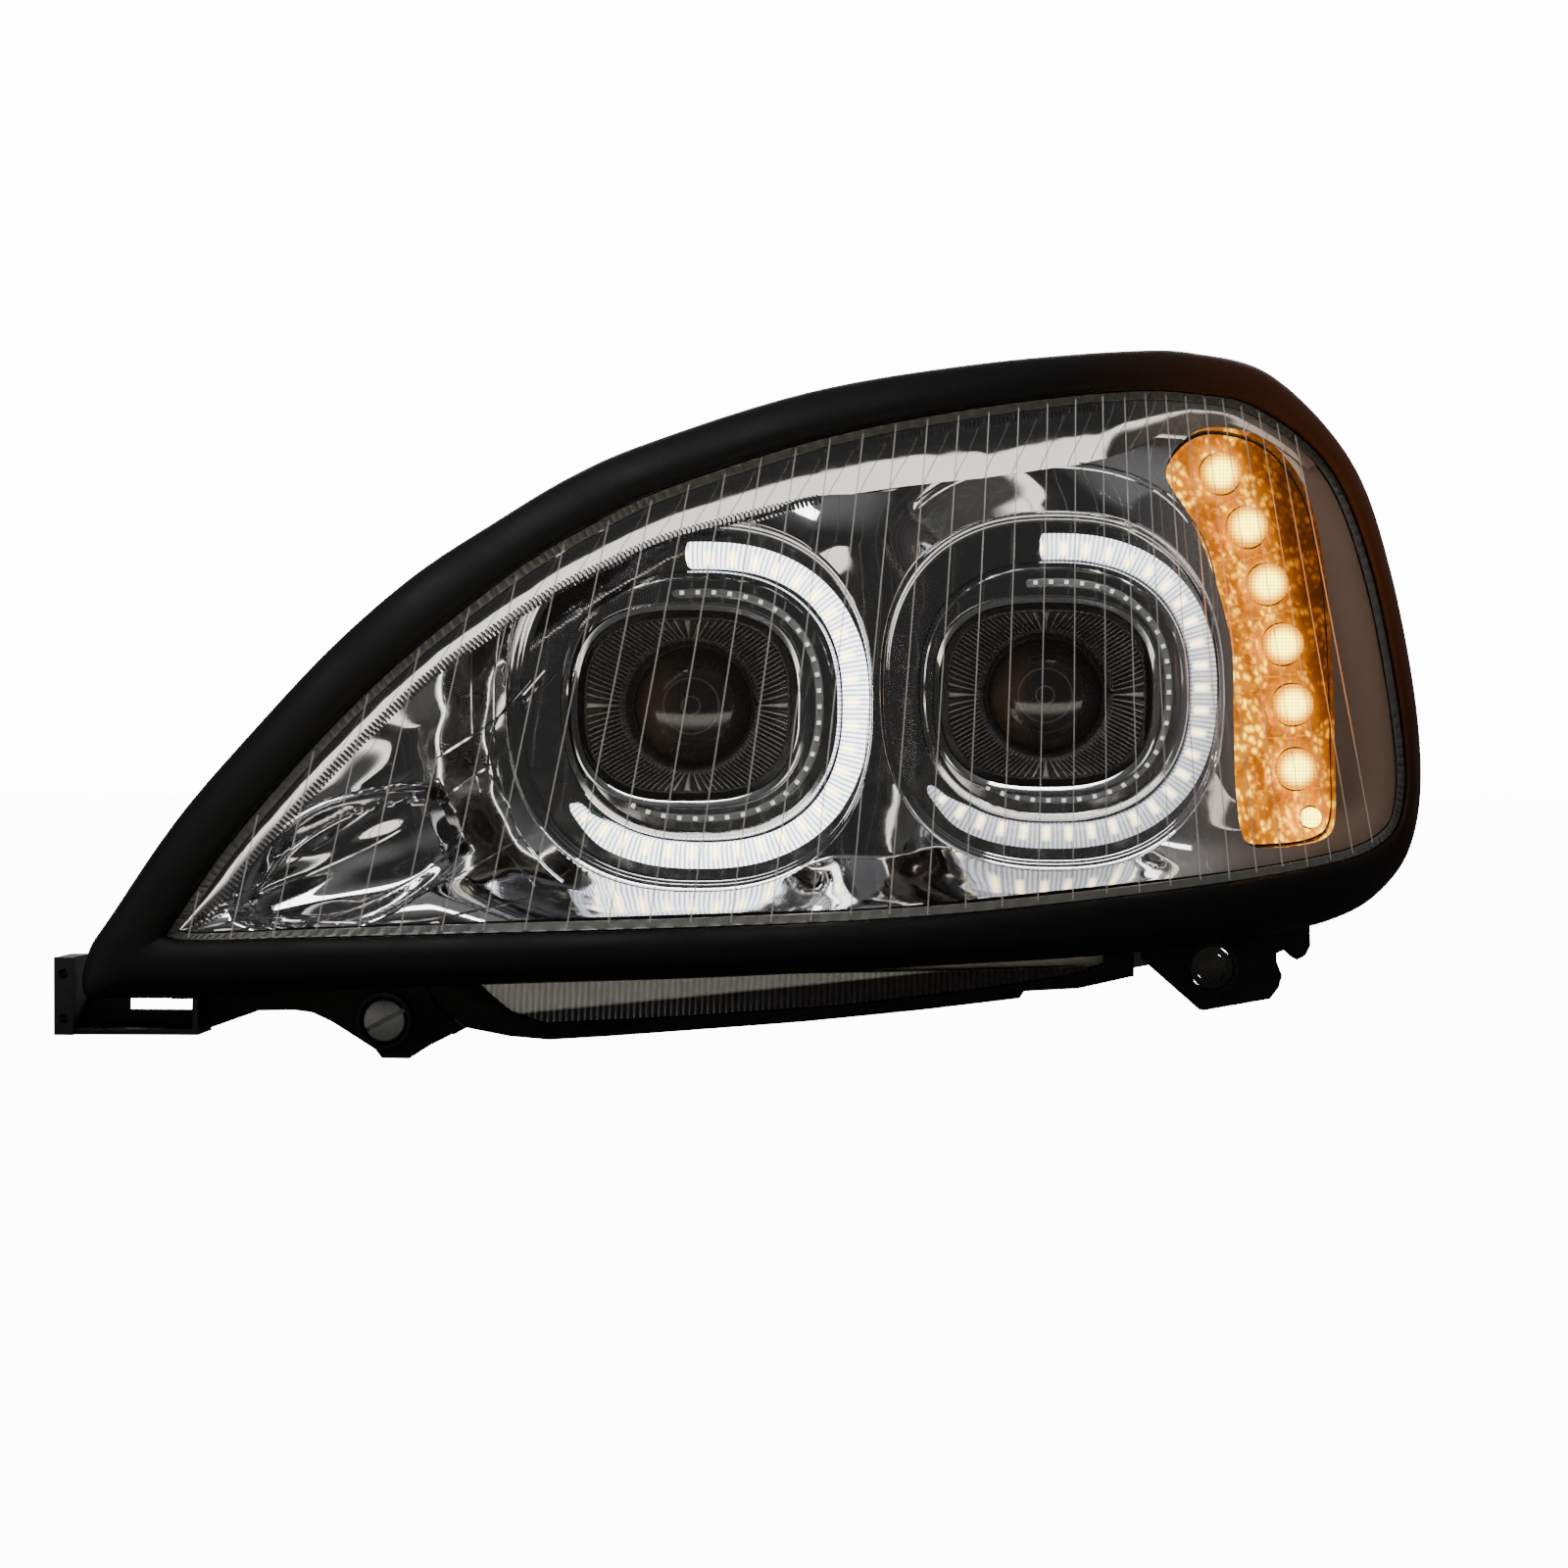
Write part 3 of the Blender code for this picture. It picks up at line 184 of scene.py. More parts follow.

# ---------------------------------------------------------------- perimeter frame
# A crowned band of black EPDM-faced plastic that grips the lens all round and laps over the housing's edge.
# It is moulded in one piece, satin on the crown, with painted amber light warming it beside the turn signal.

TIP = Vector((0.050, -0.030, 0.033))
SWEEP = (0.17, 0.82, 3.8)
LEAN = (0.15, 0.30)


def lens_depth(x, z):
    """Depth of the lens's front face: it falls back outwards, ever faster, and leans back upwards."""
    out = x - TIP.x
    up = z - TIP.z
    sweep = SWEEP[0] * out + SWEEP[1] * max(out, 0.0) ** SWEEP[2]
    return TIP.y + sweep + LEAN[0] * up + LEAN[1] * up * abs(up)


def spline(points, steps, closed=True):
    """A smooth curve through points, with that many steps from each to the next."""
    count = len(points)
    made = []
    for i in range(count if closed else count - 1):
        a, b, c, d = (
            Vector(points[(i + k) % count if closed else min(max(i + k, 0), count - 1)])
            for k in (-1, 0, 1, 2)
        )
        for step in range(steps):
            t = step / steps
            p = 2 * b + (c - a) * t + (2 * a - 5 * b + 4 * c - d) * t**2
            made.append(0.5 * (p + (3 * b - a - 3 * c + d) * t**3))
    if not closed:
        made.append(Vector(points[-1]))
    return made


# Matched places round the lamp, clockwise from the inner tip: the frame's outer edge and the window's edge.
STATIONS = [
    ((0.012, 0.000), (0.053, 0.0300)),
    ((0.012, 0.022), (0.0525, 0.0325)),
    ((0.024, 0.043), (0.0590, 0.0430)),
    ((0.055, 0.092), (0.079, 0.074)),
    ((0.093, 0.1395), (0.113, 0.117)),
    ((0.131, 0.183), (0.147, 0.155)),
    ((0.170, 0.2195), (0.181, 0.187)),
    ((0.210, 0.248), (0.226, 0.224)),
    ((0.250, 0.274), (0.262, 0.247)),
    ((0.291, 0.2935), (0.300, 0.267)),
    ((0.374, 0.323), (0.381, 0.296)),
    ((0.459, 0.3415), (0.464, 0.316)),
    ((0.549, 0.355), (0.546, 0.330)),
    ((0.595, 0.3575), (0.590, 0.3325)),
    ((0.644, 0.3475), (0.633, 0.3265)),
    ((0.6935, 0.300), (0.678, 0.294)),
    ((0.718, 0.235), (0.704, 0.234)),
    ((0.734, 0.147), (0.721, 0.146)),
    ((0.7325, 0.086), (0.7215, 0.094)),
    ((0.712, 0.0485), (0.704, 0.070)),
    ((0.665, 0.026), (0.656, 0.058)),
    ((0.558, 0.015), (0.553, 0.0465)),
    ((0.440, 0.0105), (0.440, 0.0375)),
    ((0.328, 0.0066), (0.330, 0.0335)),
    ((0.200, 0.004), (0.205, 0.031)),
    ((0.100, 0.001), (0.120, 0.0295)),
    ((0.036, 0.000), (0.0680, 0.0285)),
]
AROUND = 12
OUTER_EDGE = spline([s[0] for s in STATIONS], AROUND)
WINDOW_EDGE = spline([s[1] for s in STATIONS], AROUND)


def rim(share, offset, depth):
    """Points round the lamp, from share 0 at the window's edge to 1 at the frame's, and an offset."""
    made = []
    for inner, outer in zip(WINDOW_EDGE, OUTER_EDGE):
        across = outer - inner
        p = inner + across * share + across.normalized() * offset
        made.append((p.x, lens_depth(p.x, p.y) + depth, p.y))
    return made


def skin(name, rows, ring=True, tube=True, caps=False):
    """A mesh over rows of points. ring joins each row's ends, tube joins the last row to the first."""
    count = len(rows[0])
    faces = []
    for i in range(len(rows) if tube else len(rows) - 1):
        a, b = i * count, (i + 1) % len(rows) * count
        for j in range(count if ring else count - 1):
            k = (j + 1) % count
            faces.append((a + j, a + k, b + k, b + j))
    if tube and not ring:
        faces.append([i * count for i in range(len(rows))])
        faces.append([i * count + count - 1 for i in range(len(rows))])
    if caps:
        faces.append(list(range(count)))
        faces.append([(len(rows) - 1) * count + j for j in range(count)])
    mesh = bpy.data.meshes.new(name)
    mesh.from_pydata([tuple(p) for row in rows for p in row], [], faces)
    return outward(mesh)


def outward(mesh):
    """Merges doubled points, drops faces with no area, and points every face outwards."""
    bm = bmesh.new()
    bm.from_mesh(mesh)
    bmesh.ops.remove_doubles(bm, verts=bm.verts[:], dist=1e-6)
    bmesh.ops.dissolve_degenerate(bm, edges=bm.edges[:], dist=1e-6)
    bmesh.ops.recalc_face_normals(bm, faces=bm.faces[:])
    bm.to_mesh(mesh)
    bm.free()
    return mesh


def show(name, mesh, material, body="housing_unit", nodes=(), angle=32.0):
    """Puts a finished mesh in the scene as one piece of the lamp, riding on its body."""
    mesh.materials.clear()
    mesh.materials.append(material)
    mesh.shade_smooth()
    mesh.set_sharp_from_angle(angle=math.radians(angle))
    made = bpy.data.objects.new(name, mesh)
    scene.collection.objects.link(made)
    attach(made, body)
    if nodes:
        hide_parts(*nodes)
    return made


def material_start(name, colour, values=None):
    """A new material: returns it with its node tree, its shader and the object's own coordinates."""
    made = bpy.data.materials.new(name)
    made.use_nodes = True
    tree = made.node_tree
    shader = tree.nodes["Principled BSDF"]
    shader.inputs["Base Color"].default_value = srgb(colour)
    for key, value in (values or {}).items():
        shader.inputs[key].default_value = value
    return made, tree, shader, add(tree, "ShaderNodeTexCoord").outputs["Object"]


def grain(tree, shader, place, size, depth, rough):
    """Moulded or cast grain: bumps of that size and depth, and roughness drifting between two values."""
    fine = add(tree, "ShaderNodeTexNoise", {"Scale": 1 / size, "Detail": 3.0}, {"Vector": place})
    bump = add(tree, "ShaderNodeBump", {"Strength": 1.0, "Distance": depth}, {"Height": fine.outputs[0]})
    tree.links.new(bump.outputs[0], shader.inputs["Normal"])
    broad = add(tree, "ShaderNodeTexNoise", {"Scale": 28.0, "Detail": 4.0}, {"Vector": place})
    spread = ramp(tree, broad.outputs[0], (0.3, 0.7), rough, "LINEAR")
    tree.links.new(spread, shader.inputs["Roughness"])
    return bump


def grained(name, colour, values, size, depth, rough):
    """A material whose only texture is its grain."""
    made, tree, shader, place = material_start(name, colour, values)
    grain(tree, shader, place, size, depth, rough)
    return made


# Satin black moulded rubber: nearly black, soft broad highlights, with painted amber light from the turn
# signal at the upper outer corner: a warmer base colour and a faint painted glow.
frame_rubber, tree, shader, place = material_start(
    "moulded EPDM rubber", "#050404", {"Specular IOR Level": 0.12}
)
grain(tree, shader, place, 0.0009, 0.00003, (0.52, 0.66))
# Painted amber light: near the turn signal the base colour is painted warmer.
spot = add(tree, "ShaderNodeVectorMath", {"operation": "DISTANCE", 1: (0.700, 0.27, 0.270)}, {0: place})
painted_glow_share = ramp(tree, spot.outputs["Value"], (0.01, 0.24), (1.0, 0.0))
painted_warm_base = blend(tree, painted_glow_share, srgb("#050404"), srgb("#2a1206"))
tree.links.new(painted_warm_base, shader.inputs["Base Color"])
shader.inputs["Emission Strength"].default_value = 0.16
# Painted glow: the rubber gives off faint amber light near the turn signal, though it is no lamp.
halo = blend(tree, painted_glow_share, (0.0, 0.0, 0.0, 1.0), srgb("#6a3208"))
tree.links.new(halo, shader.inputs["Emission Color"])

CROWN = [
    (0.0, 0.0006, -0.0016), (0.0, 0.0004, -0.0030), (0.06, 0.0, -0.0050), (0.16, 0.0, -0.0068),
    (0.34, 0.0, -0.0080), (0.55, 0.0, -0.0072), (0.75, 0.0, -0.0048), (0.90, 0.0, -0.0008),
    (0.975, 0.0, 0.0040), (1.0, 0.0, 0.0090), (1.0, 0.0, 0.0180), (1.0, 0.0, 0.0260),
    (1.0, -0.0012, 0.0260), (1.0, -0.0022, 0.0255), (1.0, -0.0023, 0.0180), (1.0, -0.0024, 0.0100),
    (0.88, -0.0014, 0.0020), (0.70, 0.0, -0.0016), (0.40, 0.0, -0.0016), (0.15, 0.0, -0.0016),
]
crown = [(p.x, p.y, p.z) for p in spline(CROWN, 2)]
show(
    "frame_moulding",
    skin("frame_moulding", [rim(*p) for p in crown]),
    frame_rubber,
    nodes=["perimeter_frame"],
    angle=50,
)

# ---------------------------------------------------------------- outer lens
# Clear polycarbonate, injection moulded 3 mm thick and hard coated, so it is sharp and glossy. Thin
# upright ribs cross it about 22 mm apart, and its rim carries a band of fine prisms that hides the glue.


def inside(points, loop):
    """Which of the points (an array of x, z rows) lie inside a closed loop."""
    loop = np.array([tuple(p) for p in loop])
    x, z = points[:, 0], points[:, 1]
    found = np.zeros(len(points), bool)
    for (x0, z0), (x1, z1) in zip(loop, np.roll(loop, -1, axis=0)):
        if z0 != z1:
            found ^= ((z0 > z) != (z1 > z)) & (x < (x1 - x0) * (z - z0) / (z1 - z0) + x0)
    return found


def sheet(name, outline, spacing, depth, thickness, holes=(), finer=None):
    """A sheet of even thickness, cut to an outline of (x, z) points with holes, that follows depth(x, z)."""
    loops = [np.array([(p[0], p[1]) for p in loop]) for loop in (outline, *holes)]
    edge = np.concatenate(loops)
    low, high = loops[0].min(axis=0), loops[0].max(axis=0)
    across, up = np.meshgrid(
        np.arange(low[0], high[0], spacing), np.arange(low[1], high[1], spacing * 0.866)
    )
    across[1::2] += spacing / 2
    grid = np.column_stack([across.ravel(), up.ravel()])
    if finer:
        middle = (grid[:, 0] > finer[0]) & (grid[:, 1] < finer[1])
        extra = [
            grid[middle] + (spacing * 0.5 * i, spacing * 0.433 * j)
            for i, j in ((1, 0), (0.5, 1), (-0.5, 1))
        ]
        grid = np.concatenate([grid, *extra])

    def wanted(points):
        kept = inside(points, loops[0])
        for loop in loops[1:]:
            kept &= ~inside(points, loop)
        return kept

    grid = grid[wanted(grid)]
    least = spacing * (0.25 if finer else 0.45)
    clear = [np.min(np.hypot(edge[:, 0] - x, edge[:, 1] - z)) > least for x, z in grid]
    points = np.concatenate([edge, grid[clear]])
    edges = []
    for loop in loops:
        start = len(edges)
        edges += [(start + i, start + (i + 1) % len(loop)) for i in range(len(loop))]
    flat, _, faces, _, _, _ = delaunay_2d_cdt([Vector(p) for p in points], edges, [], 0, 1e-7)
    flat = np.array(flat)
    faces = np.array(faces)
    faces = faces[wanted(flat[faces].mean(axis=1))]
    count = len(flat)
    front = [(x, depth(x, z), z) for x, z in flat]
    back = [(x, y + thickness, z) for x, y, z in front]
    sides = {(f[i], f[(i + 1) % 3]) for f in faces for i in range(3)}
    walls = [(b, a, a + count, b + count) for a, b in sides if (b, a) not in sides]
    mesh = bpy.data.meshes.new(name)
    mesh.from_pydata(front + back, [], [*faces, *(faces[:, ::-1] + count), *walls])
    bm = bmesh.new()
    bm.from_mesh(mesh)
    bmesh.ops.delete(bm, geom=[v for v in bm.verts if not v.link_faces], context="VERTS")
    bm.to_mesh(mesh)
    bm.free()
    return mesh


def offset_edge(offset, every=1):
    """The window's edge moved outwards by an offset, as (x, z) points."""
    return [(p[0], p[2]) for p in rim(0.0, offset, 0.0)][::every]


# Clear polycarbonate: almost invisible, with a faint smoke and slight haze from its hard coat.
clear_polycarbonate, *_ = material_start(
    "clear polycarbonate",
    "#3a3836",
    {"Alpha": 0.07, "Roughness": 0.03, "IOR": 1.58},
)
LENS_WALL = 0.003
lens_mesh = sheet("clear_lens", offset_edge(0.0052, 2), 0.008, lens_depth, LENS_WALL)
show("clear_lens", lens_mesh, clear_polycarbonate, nodes=["outer_lens"], angle=60)


def tree_start(name, sizes):
    """A geometry tree for lines and some named sizes: returns it, its inputs and its lines as curves."""
    tree = bpy.data.node_groups.new(name, "GeometryNodeTree")
    tree.interface.new_socket("Lines", in_out="INPUT", socket_type="NodeSocketGeometry")
    for label, kind in sizes.items():
        tree.interface.new_socket(label, in_out="INPUT", socket_type=kind)
    tree.interface.new_socket("Grown", in_out="OUTPUT", socket_type="NodeSocketGeometry")
    given = add(tree, "NodeGroupInput")
    return tree, given, add(tree, "GeometryNodeMeshToCurve", links={0: given.outputs["Lines"]})


def tree_end(tree, grown, material):
    """Makes what a tree has grown real, and gives it its material."""
    solid = add(tree, "GeometryNodeRealizeInstances", links={0: grown.outputs[0]})
    done = add(tree, "GeometryNodeSetMaterial", {"Material": material}, {0: solid.outputs[0]})
    add(tree, "NodeGroupOutput", links={0: done.outputs[0]})
    return tree


def bars_tree(name, material):
    """Geometry nodes that sweep a rectangular bar along the edges of a mesh."""
    tree, given, lines = tree_start(name, {"Width": "NodeSocketFloat", "Height": "NodeSocketFloat"})
    sides = {"Width": given.outputs["Width"], "Height": given.outputs["Height"]}
    section = add(tree, "GeometryNodeCurvePrimitiveQuadrilateral", links=sides)
    path = {"Curve": lines.outputs[0], "Profile Curve": section.outputs[0]}
    return tree_end(tree, add(tree, "GeometryNodeCurveToMesh", {"Fill Caps": True}, path), material)


def row_tree(name, material):
    """Geometry nodes that set a row of blocks along the edges of a mesh, each turned to follow its line."""
    tree, given, lines = tree_start(name, {"Spacing": "NodeSocketFloat", "Size": "NodeSocketVector"})
    spaced = {"Curve": lines.outputs[0], "Length": given.outputs["Spacing"]}
    points = add(tree, "GeometryNodeResampleCurve", {"mode": "LENGTH"}, spaced)
    along = add(tree, "GeometryNodeInputTangent")
    turn = add(tree, "FunctionNodeAlignEulerToVector", {"axis": "X"}, {"Vector": along.outputs[0]})
    cube = add(tree, "GeometryNodeMeshCube", links={"Size": given.outputs["Size"]})
    placed = {"Points": points.outputs[0], "Instance": cube.outputs[0], "Rotation": turn.outputs[0]}
    return tree_end(tree, add(tree, "GeometryNodeInstanceOnPoints", links=placed), material)


def grown_mesh(name, lines, tree, inputs):
    """Runs a geometry tree on a set of polylines and returns the result as a plain mesh."""
    points = []
    edges = []
    for line in lines:
        start = len(points)
        points += [tuple(p) for p in line]
        edges += [(start + i, start + i + 1) for i in range(len(line) - 1)]
    mesh = bpy.data.meshes.new(name + "_lines")
    mesh.from_pydata(points, edges, [])
    guide = bpy.data.objects.new(name + "_lines", mesh)
    scene.collection.objects.link(guide)
    modifier = guide.modifiers.new("grow", "NODES")
    modifier.node_group = tree
    for socket in tree.interface.items_tree:
        if socket.name in inputs:
            modifier[socket.identifier] = inputs[socket.name]
    bpy.context.view_layer.update()
    made = bpy.data.meshes.new_from_object(guide.evaluated_get(bpy.context.evaluated_depsgraph_get()))
    bpy.data.objects.remove(guide)
    return outward(made)


# The ribs are the same polycarbonate, and their rounded backs catch the light as thin pale lines, helped by a
# faint painted glow that is painted amber near the turn signal.
rib_polycarbonate, tree, shader, place = material_start(
    "polycarbonate rib",
    "#8f8c88",
    {"Alpha": 0.42, "Roughness": 0.3},
)
grain(tree, shader, place, 0.006, 0.00008, (0.18, 0.34))
# Painted light: the ribs glow faintly grey everywhere and amber close to the turn signal.
near = add(tree, "ShaderNodeVectorMath", {"operation": "DISTANCE", 1: (0.662, 0.21, 0.205)}, {0: place})
amber = ramp(tree, near.outputs["Value"], (0.05, 0.11), (1.0, 0.0))
lit = blend(tree, amber, srgb("#5c5955"), srgb("#ff8a10"))
tree.links.new(lit, shader.inputs["Emission Color"])
shader.inputs["Emission Strength"].default_value = 0.9

RIB_SPACING = 0.0215
window = np.array(offset_edge(-0.001))
lines = []
x = 0.0655
while x < 0.712:
    base_lean = np.interp(x, [0.05, 0.25, 0.54, 0.72], [0.185, 0.175, 0.0, -0.20])
    column = []
    for z in np.arange(0.0, 0.345, 0.003):
        column.append((x + base_lean * (z - 0.04), z))
    column = np.array(column)
    column = column[inside(column, window)]
    if len(column) > 3:
        lines.append([(px, lens_depth(px, pz) - 0.0001, pz) for px, pz in column])
    slope = (lens_depth(x + 0.001, 0.15) - lens_depth(x - 0.001, 0.15)) / 0.002
    x += RIB_SPACING / math.hypot(1.0, slope)
ribs = grown_mesh(
    "lens_ribs", lines, bars_tree("upright ribs", rib_polycarbonate), {"Width": 0.0006, "Height": 0.0006}
)
show("lens_ribs", ribs, rib_polycarbonate, angle=60)

# The prism band: fine teeth moulded behind the lens's rim, seen as a grey milled edge.
prism_polycarbonate = grained(
    "frosted polycarbonate rim",
    "#5c5b58",
    {"Roughness": 0.3, "IOR": 1.45, "Specular IOR Level": 0.6},
    0.003,
    0.00005,
    (0.25, 0.45),
)
prism_rows = []
fine_edge = spline([s[1] for s in STATIONS], 30)
fine_outer = spline([s[0] for s in STATIONS], 30)
for offset, depth, tooth in (
    (-0.0003, 0.0036, 0.0), (-0.0012, 0.0036, 1.0), (-0.0046, 0.0044, 1.0), (-0.0050, 0.0060, 0.0),
    (-0.0003, 0.0060, 0.0),
):
    row = []
    for i, (inner, outer) in enumerate(zip(fine_edge, fine_outer)):
        across = (outer - inner).normalized()
        p = inner + across * offset
        row.append((p.x, lens_depth(p.x, p.y) + depth + tooth * 0.0009 * (i % 3 == 0), p.y))
    prism_rows.append(row)
show("lens_rim_prisms", skin("lens_rim_prisms", prism_rows), prism_polycarbonate, angle=15)

# ---------------------------------------------------------------- chrome bezel
# One moulding of ABS, vacuum metallised and lacquered: mirror bright, with faint ripples from the moulding.
# It runs back from the lens in a cove along the top, funnels into a cup round each running light, and has a
# teardrop pocket in the narrow corner.

PROJECTORS = {
    "inner": {"beam": (0.309, 0.151), "ring": (0.316, 0.151), "face": 0.105, "port": 0.285},
    "outer": {"beam": (0.508, 0.158), "ring": (0.512, 0.160), "face": 0.183, "port": 0.335},
}
RING_HALF = (0.086, 0.083)
RING_POWER = 2.4
CUP_EDGE = 0.0112
CUP_STEPS = 160


def squircle(centre, half, power, count, depth, start=0.0, end=360.0):
    """Points on a superellipse facing forwards, all at one depth."""
    whole = abs(end - start) >= 360.0
    made = []
    for i in range(count):
        angle = math.radians(start + (end - start) * i / (count if whole else count - 1))
        c, s = math.cos(angle), math.sin(angle)
        x = centre[0] + half[0] * math.copysign(abs(c) ** (2 / power), c)
        z = centre[1] + half[1] * math.copysign(abs(s) ** (2 / power), s)
        made.append((x, depth, z))
    return made


def ring_point(unit, wide, angle):
    """The place (x, z) at an angle round a running light, moved outwards by a width."""
    c, s = math.cos(angle), math.sin(angle)
    x = unit["ring"][0] + (RING_HALF[0] + wide) * math.copysign(abs(c) ** (2 / RING_POWER), c)
    z = unit["ring"][1] + (RING_HALF[1] + wide) * math.copysign(abs(s) ** (2 / RING_POWER), s)
    return x, z


def cup_row(side, grow, depth):
    """Points round a cup, wider above and below than beside its neighbours."""
    made = []
    for i in range(CUP_STEPS):
        angle = 2 * math.pi * i / CUP_STEPS
        beside = max(math.cos(angle), 0.0) if side == "inner" else abs(math.cos(angle))
        wide = grow * (1 + 0.7 * (1 - beside**2)) if grow > 0 else grow
        x, z = ring_point(PROJECTORS[side], wide, angle)
        made.append((x, depth(x, z) if callable(depth) else depth, z))
    return made


def ring_gap(x, z, unit, grow=CUP_EDGE):
    """Distance outside a running light's cup edge, negative within it."""
    a, b = RING_HALF[0] + grow, RING_HALF[1] + grow
    dx, dz = abs(x - unit["ring"][0]) / a, abs(z - unit["ring"][1]) / b
    return ((dx**RING_POWER + dz**RING_POWER) ** (1 / RING_POWER) - 1) * (a + b) / 2


def ease(value, start, end):
    """0 before start, 1 after end, and smooth between."""
    t = min(1.0, max(0.0, (value - start) / (end - start)))
    return t * t * (3 - 2 * t)


def pocket_gap(x, z):
    """Distance outside the teardrop pocket: pointed at the lamp's tip and round at its outer end."""
    along, up = x - 0.082, z - 0.042
    length, tilt = 0.118, 0.42
    u = along * math.cos(tilt) + up * math.sin(tilt)
    v = -along * math.sin(tilt) + up * math.cos(tilt)
    t = min(max(u / length, 0.0), 1.0)
    half = 0.031 * math.sin(math.pi * t**0.75 / 1.25) + 0.002
    beyond = max(u - length, -u, 0.0)
    return math.hypot(beyond, max(abs(v) - half, 0.0)) if beyond or abs(v) > half else abs(v) - half


EDGE_STARTS = np.array([tuple(p) for p in WINDOW_EDGE])
EDGE_STEPS = np.roll(EDGE_STARTS, -1, axis=0) - EDGE_STARTS
EDGE_SQUARES = (EDGE_STEPS**2).sum(axis=1)


def rim_distance(x, z):
    """Distance from (x, z) to the window's edge."""
    to = np.array((x, z)) - EDGE_STARTS
    along = np.clip((to * EDGE_STEPS).sum(axis=1) / EDGE_SQUARES, 0.0, 1.0)
    return float(np.sqrt(((to - EDGE_STEPS * along[:, None]) ** 2).sum(axis=1).min()))


def bezel_depth(x, z):
    """Depth of the bezel's face, which ramps from the lens at its rim back to the cups and the pocket."""
    lens = lens_depth(x, z)
    rim_gap = rim_distance(x, z)
    y = lens + 0.0085 + 0.0125 * ease(rim_gap, 0.004, 0.032)
    weights = []
    targets = []
    for unit in PROJECTORS.values():
        below = ease(unit["ring"][1] - z, 0.040, 0.090)
        gap = max(ring_gap(x, z, unit, CUP_EDGE * (1 + 0.5 * below)), 0.0)
        share = rim_gap / (gap + rim_gap + 1e-6)
        weights.append(share * (1.0 - ease(gap, 0.012, 0.058)))
        targets.append(unit["face"] - 0.010)
    targets[1] -= 0.050 * (1.0 - ease(x, 0.405, 0.478))
    total = sum(weights)
    if total > 0:
        target = sum(w * t for w, t in zip(weights, targets)) / total
        y += (target - y) * min(1.0, total)
    fan = math.atan2(z - 0.024, x - 0.030)
    away = math.hypot(x - 0.030, z - 0.024)
    y += 0.0010 * math.sin(fan * 34.0) * ease(away, 0.05, 0.10) * (1 - ease(away, 0.17, 0.24))
    y += 0.022 * (1.0 - ease(pocket_gap(x, z), -0.010, 0.001))
    y += 0.0008 * math.sin(x * 95 + z * 60) * math.sin(z * 120 - x * 40) * (1 - ease(x, 0.19, 0.27))
    return max(y, lens + 0.0075)


# Metallised ABS: a mirror of evaporated aluminium under lacquer, with long shallow ripples that bend
# reflections.
metallised, tree, shader, place = material_start(
    "metallised ABS", "#c9c9cc", {"Metallic": 1.0, "Roughness": 0.05}
)
ripple = add(tree, "ShaderNodeTexNoise", {"Scale": 22.0, "Detail": 2.0}, {"Vector": place})
soft = add(tree, "ShaderNodeBump", {"Strength": 1.0, "Distance": 0.0007}, {"Height": ripple.outputs[0]})
tree.links.new(soft.outputs[0], shader.inputs["Normal"])
haze = add(tree, "ShaderNodeTexNoise", {"Scale": 90.0, "Detail": 4.0}, {"Vector": place})
wipe = ramp(tree, haze.outputs[0], (0.35, 0.75), (0.03, 0.11), "LINEAR")
tree.links.new(wipe, shader.inputs["Roughness"])
across = add(tree, "ShaderNodeSeparateXYZ", links={0: place})
# Towards the outer end the metal turns browner and less metallic.
browner_outwards = ramp(tree, across.outputs["X"], (0.54, 0.68), (0.0, 1.0))
toned = blend(tree, browner_outwards, srgb("#cdcdd0"), srgb("#8f7565"))
tree.links.new(toned, shader.inputs["Base Color"])
plated = ramp(tree, browner_outwards, (0.0, 1.0), (1.0, 0.30), "LINEAR")
tree.links.new(plated, shader.inputs["Metallic"])

SIGNAL_OUTLINE = [
    (0.585, 0.303), (0.606, 0.3145), (0.640, 0.308), (0.664, 0.280), (0.675, 0.235), (0.6785, 0.180),
    (0.679, 0.120), (0.678, 0.086), (0.668, 0.074), (0.640, 0.0705), (0.6215, 0.074), (0.6155, 0.100),
    (0.6145, 0.140), (0.6145, 0.180), (0.610, 0.205), (0.601, 0.235), (0.589, 0.262), (0.577, 0.283),
]
signal_edge = [(p.x, p.y) for p in spline(SIGNAL_OUTLINE, 6)]
cup_holes = []
for side in PROJECTORS:
    cup_holes.append([(x, z) for x, _, z in cup_row(side, CUP_EDGE, 0.0)])
bezel = sheet(
    "chrome_bezel",
    offset_edge(-0.0058),
    0.0023,
    bezel_depth,
    0.0016,
    [*cup_holes, signal_edge],
    (0.20, 0.080),
)
show("chrome_bezel", bezel, metallised, nodes=["main_bezel"], angle=45)


def contour(side, low, high, reach):
    """A line round part of a cup at a distance that changes with the angle."""
    angles = np.linspace(math.radians(low), math.radians(high), 90)
    return [ring_point(PROJECTORS[side], reach(math.cos(a), math.sin(a)), a) for a in angles]


